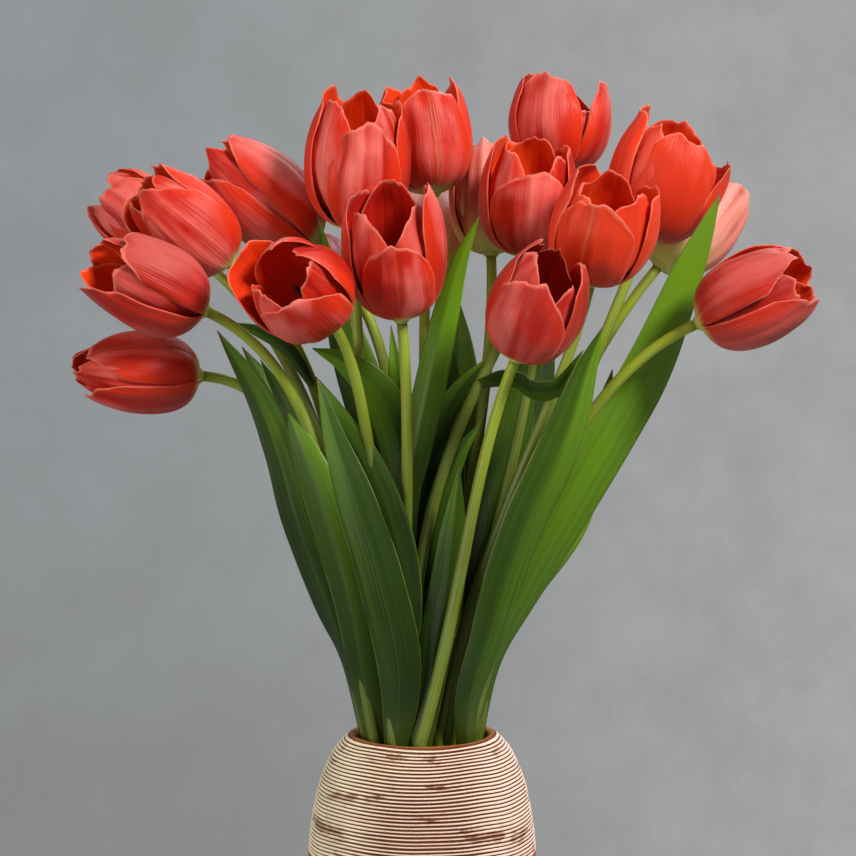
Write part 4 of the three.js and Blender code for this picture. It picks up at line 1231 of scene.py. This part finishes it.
class TULIPS_OT_blooms(bpy.types.Operator):
    """Set each bloom's six petals round its pistil and stamens"""

    bl_idname = "tulips.blooms"
    bl_label = "Blooms"

    def execute(self, context):
        bloom = context.scene.tulip_blooms
        coral = petal_material("coral_petal", tuple(bloom.coral), tuple(bloom.blush), tuple(bloom.flame),
                               tuple(bloom.claw), 0.13)
        pale = petal_material("pale_petal", tuple(bloom.salmon), PALE_BLUSH, PALE_FLAME,
                              tuple(bloom.claw), 0.50)
        anther = anther_material()
        pistil = pistil_material()
        for tulip in TULIPS:
            name = tulip["name"]
            piece = new_piece("seed", "inside", "relief", "tone_and_shading")
            tones_and_shading = piece.verts.layers.float["tone_and_shading"]
            inside = piece.verts.layers.float["inside"]
            for number in range(PETALS):
                seed = (number * SEED_STEP + float(name) * PETAL_SEED_STEP) % 1.0
                add_blade(piece, petal_surface(tulip, number), bloom.across, bloom.along,
                          bloom.thickness / MM, seed, PETAL_SKIN)
            for corner in piece.verts:
                corner[tones_and_shading] = (INNER_TONES_AND_SHADING if corner[inside] > 0.5 else TONES_AND_SHADING).get(name, 0.0)
            add_stamens(piece, tulip)
            cup = [(0.0, 2.9), (0.8, 3.5), (2.6, 5.2), (4.4, 6.6)]
            add_rod(piece, [(UP * height, UP, wide) for height, wide in cup], 18, PLAIN_SEED, PISTIL_SKIN)
            bmesh.ops.recalc_face_normals(piece, faces=piece.faces[:])
            lean = UP.rotation_difference(Vector(tulip["aim"]).normalized())
            place = Matrix.LocRotScale(Vector(tulip["base"]) * MM, lean, Vector((MM, MM, MM)))
            bmesh.ops.transform(piece, matrix=place, verts=piece.verts[:])
            skin, slot = (pale, "petal_pale") if "pale" in tulip else (coral, "petal_coral")
            finish_piece(piece, "tulip_bloom_" + name, "bloom_" + name, [skin, anther, pistil])
        return {"FINISHED"}


# ---------------------------------------------------------------- stage
DAYLIGHT = (1.0, 0.97, 0.93)
WARM_LIGHT = (1.0, 0.97, 0.90)
WHITE_LIGHT = (1.0, 1.0, 1.0)
CAMERA_PLACE = Vector((0.0031, -1.3608, 0.4456))
CAMERA_TARGET = Vector((0.0031, 0.0, 0.3265))
CAMERA_LENS = 110.5


def add_light(name, place, height, size, power, colour):
    """A round lamp that looks at the bunch's axis at a height."""
    light = bpy.data.lights.new(name, "AREA")
    light.shape = "DISK"
    light.size = size
    light.energy = power
    light.color = colour
    made = bpy.data.objects.new(name, light)
    made.location = place
    made.rotation_euler = (UP * height - Vector(place)).to_track_quat("-Z", "Y").to_euler()
    bpy.context.scene.collection.objects.link(made)


def studio_world(stage):
    """Soft light from all round, and a mottled grey backdrop that only the camera sees."""
    world = bpy.data.worlds.new("studio")
    world.use_nodes = True
    world.node_tree.nodes.clear()
    recipe = Recipe(world.node_tree)
    ambient = recipe.node("Background", {"Color": (1.0, 0.98, 0.94, 1.0), "Strength": stage.ambient})
    towards = recipe.node("TexCoord").outputs["Generated"]
    across, _, high = recipe.parts(towards)
    grey = tuple(stage.backdrop)
    light = tuple(1.20 * part for part in grey[:3]) + (1.0,)
    shade = tuple(share * part for share, part in zip((0.92, 0.955, 0.99), grey)) + (1.0,)
    # The backdrop is painted lighter on the right, in shade on the left, and darker low down on the left.
    cloud = recipe.ease(recipe.noise(towards, 26.0, 6.0, 0.65), 0.3, 0.7)
    low = recipe.times(recipe.ease(high, -0.05, -0.26, 0.0, 0.5), recipe.ease(across, 0.15, -0.1))
    tint = recipe.layers(
        light,
        (recipe.ease(across, 0.17, -0.17), shade),
        (recipe.times(cloud, 0.32), (0.22, 0.22, 0.22, 1.0)),
        (low, (0.20, 0.20, 0.185, 1.0)),
    )
    backdrop = recipe.node("Background", {"Color": tint, "Strength": 1.0})
    seen = recipe.node("LightPath").outputs["Is Camera Ray"]
    both = recipe.node("MixShader", {0: seen, 1: ambient.outputs[0], 2: backdrop.outputs[0]})
    end = world.node_tree.nodes.new("ShaderNodeOutputWorld")
    recipe.feed(end.inputs["Surface"], both.outputs[0])
    return world


class TULIPS_OT_stage(bpy.types.Operator):
    """Lay the floor, set the lights and aim the camera"""

    bl_idname = "tulips.stage"
    bl_label = "Stage"

    def execute(self, context):
        stage = context.scene.tulip_stage
        disc = bmesh.new()
        bmesh.ops.create_circle(disc, cap_ends=True, segments=96, radius=stage.floor_radius)
        mesh = bpy.data.meshes.new("floor")
        disc.to_mesh(mesh)
        disc.free()
        mesh.materials.append(floor_material(stage))
        floor = bpy.data.objects.new("floor", mesh)
        context.scene.collection.objects.link(floor)

        fill = stage.fill_power
        add_light("key", (1.5, -1.5, 2.0), 0.38, 0.7, stage.key_power, DAYLIGHT)
        add_light("fill", (-2.0, -1.5, 0.9), 0.32, 1.8, fill, WARM_LIGHT)
        add_light("low", (-1.5, -1.3, 0.1), 0.12, 0.8, 0.3 * fill, WARM_LIGHT)
        add_light("back", (0.7, 1.7, 1.9), 0.38, 1.2, stage.back_power, WHITE_LIGHT)
        context.scene.world = studio_world(stage)

        lens = bpy.data.cameras.new("camera")
        lens.sensor_width = 36.0
        lens.lens = CAMERA_LENS
        camera = bpy.data.objects.new("camera", lens)
        camera.location = CAMERA_PLACE
        camera.rotation_euler = (CAMERA_TARGET - CAMERA_PLACE).to_track_quat("-Z", "Y").to_euler()
        context.scene.collection.objects.link(camera)
        context.scene.camera = camera
        context.scene.view_settings.view_transform = "Standard"
        return {"FINISHED"}


# ---------------------------------------------------------------- panel
STEPS = [TULIPS_OT_vase, TULIPS_OT_water, TULIPS_OT_leafy_stems, TULIPS_OT_blooms, TULIPS_OT_stage]


class TULIPS_PT_panel(bpy.types.Panel):
    """Buttons that build the tulips and their vase, and the sizes and colours they use"""

    bl_idname = "TULIPS_PT_panel"
    bl_label = "Tulips in a combed vase"
    bl_space_type = "VIEW_3D"
    bl_region_type = "UI"
    bl_category = "Tulips"

    def draw(self, context):
        for name, group in SETTINGS.items():
            box = self.layout.box()
            for prop in group.__annotations__:
                box.prop(getattr(context.scene, name), prop)
        for step in STEPS:
            self.layout.operator(step.bl_idname)


CLASSES = [*SETTINGS.values(), *STEPS, TULIPS_PT_panel]


def register():
    for made in CLASSES:
        bpy.utils.register_class(made)
    for name, group in SETTINGS.items():
        setattr(bpy.types.Scene, name, bpy.props.PointerProperty(type=group))


def unregister():
    for name in SETTINGS:
        delattr(bpy.types.Scene, name)
    for made in reversed(CLASSES):
        bpy.utils.unregister_class(made)


def main():
    register()
    bpy.ops.tulips.vase()
    bpy.ops.tulips.water()
    bpy.ops.tulips.leafy_stems()
    bpy.ops.tulips.blooms()
    bpy.ops.tulips.stage()


if __name__ == "__main__":
    main()
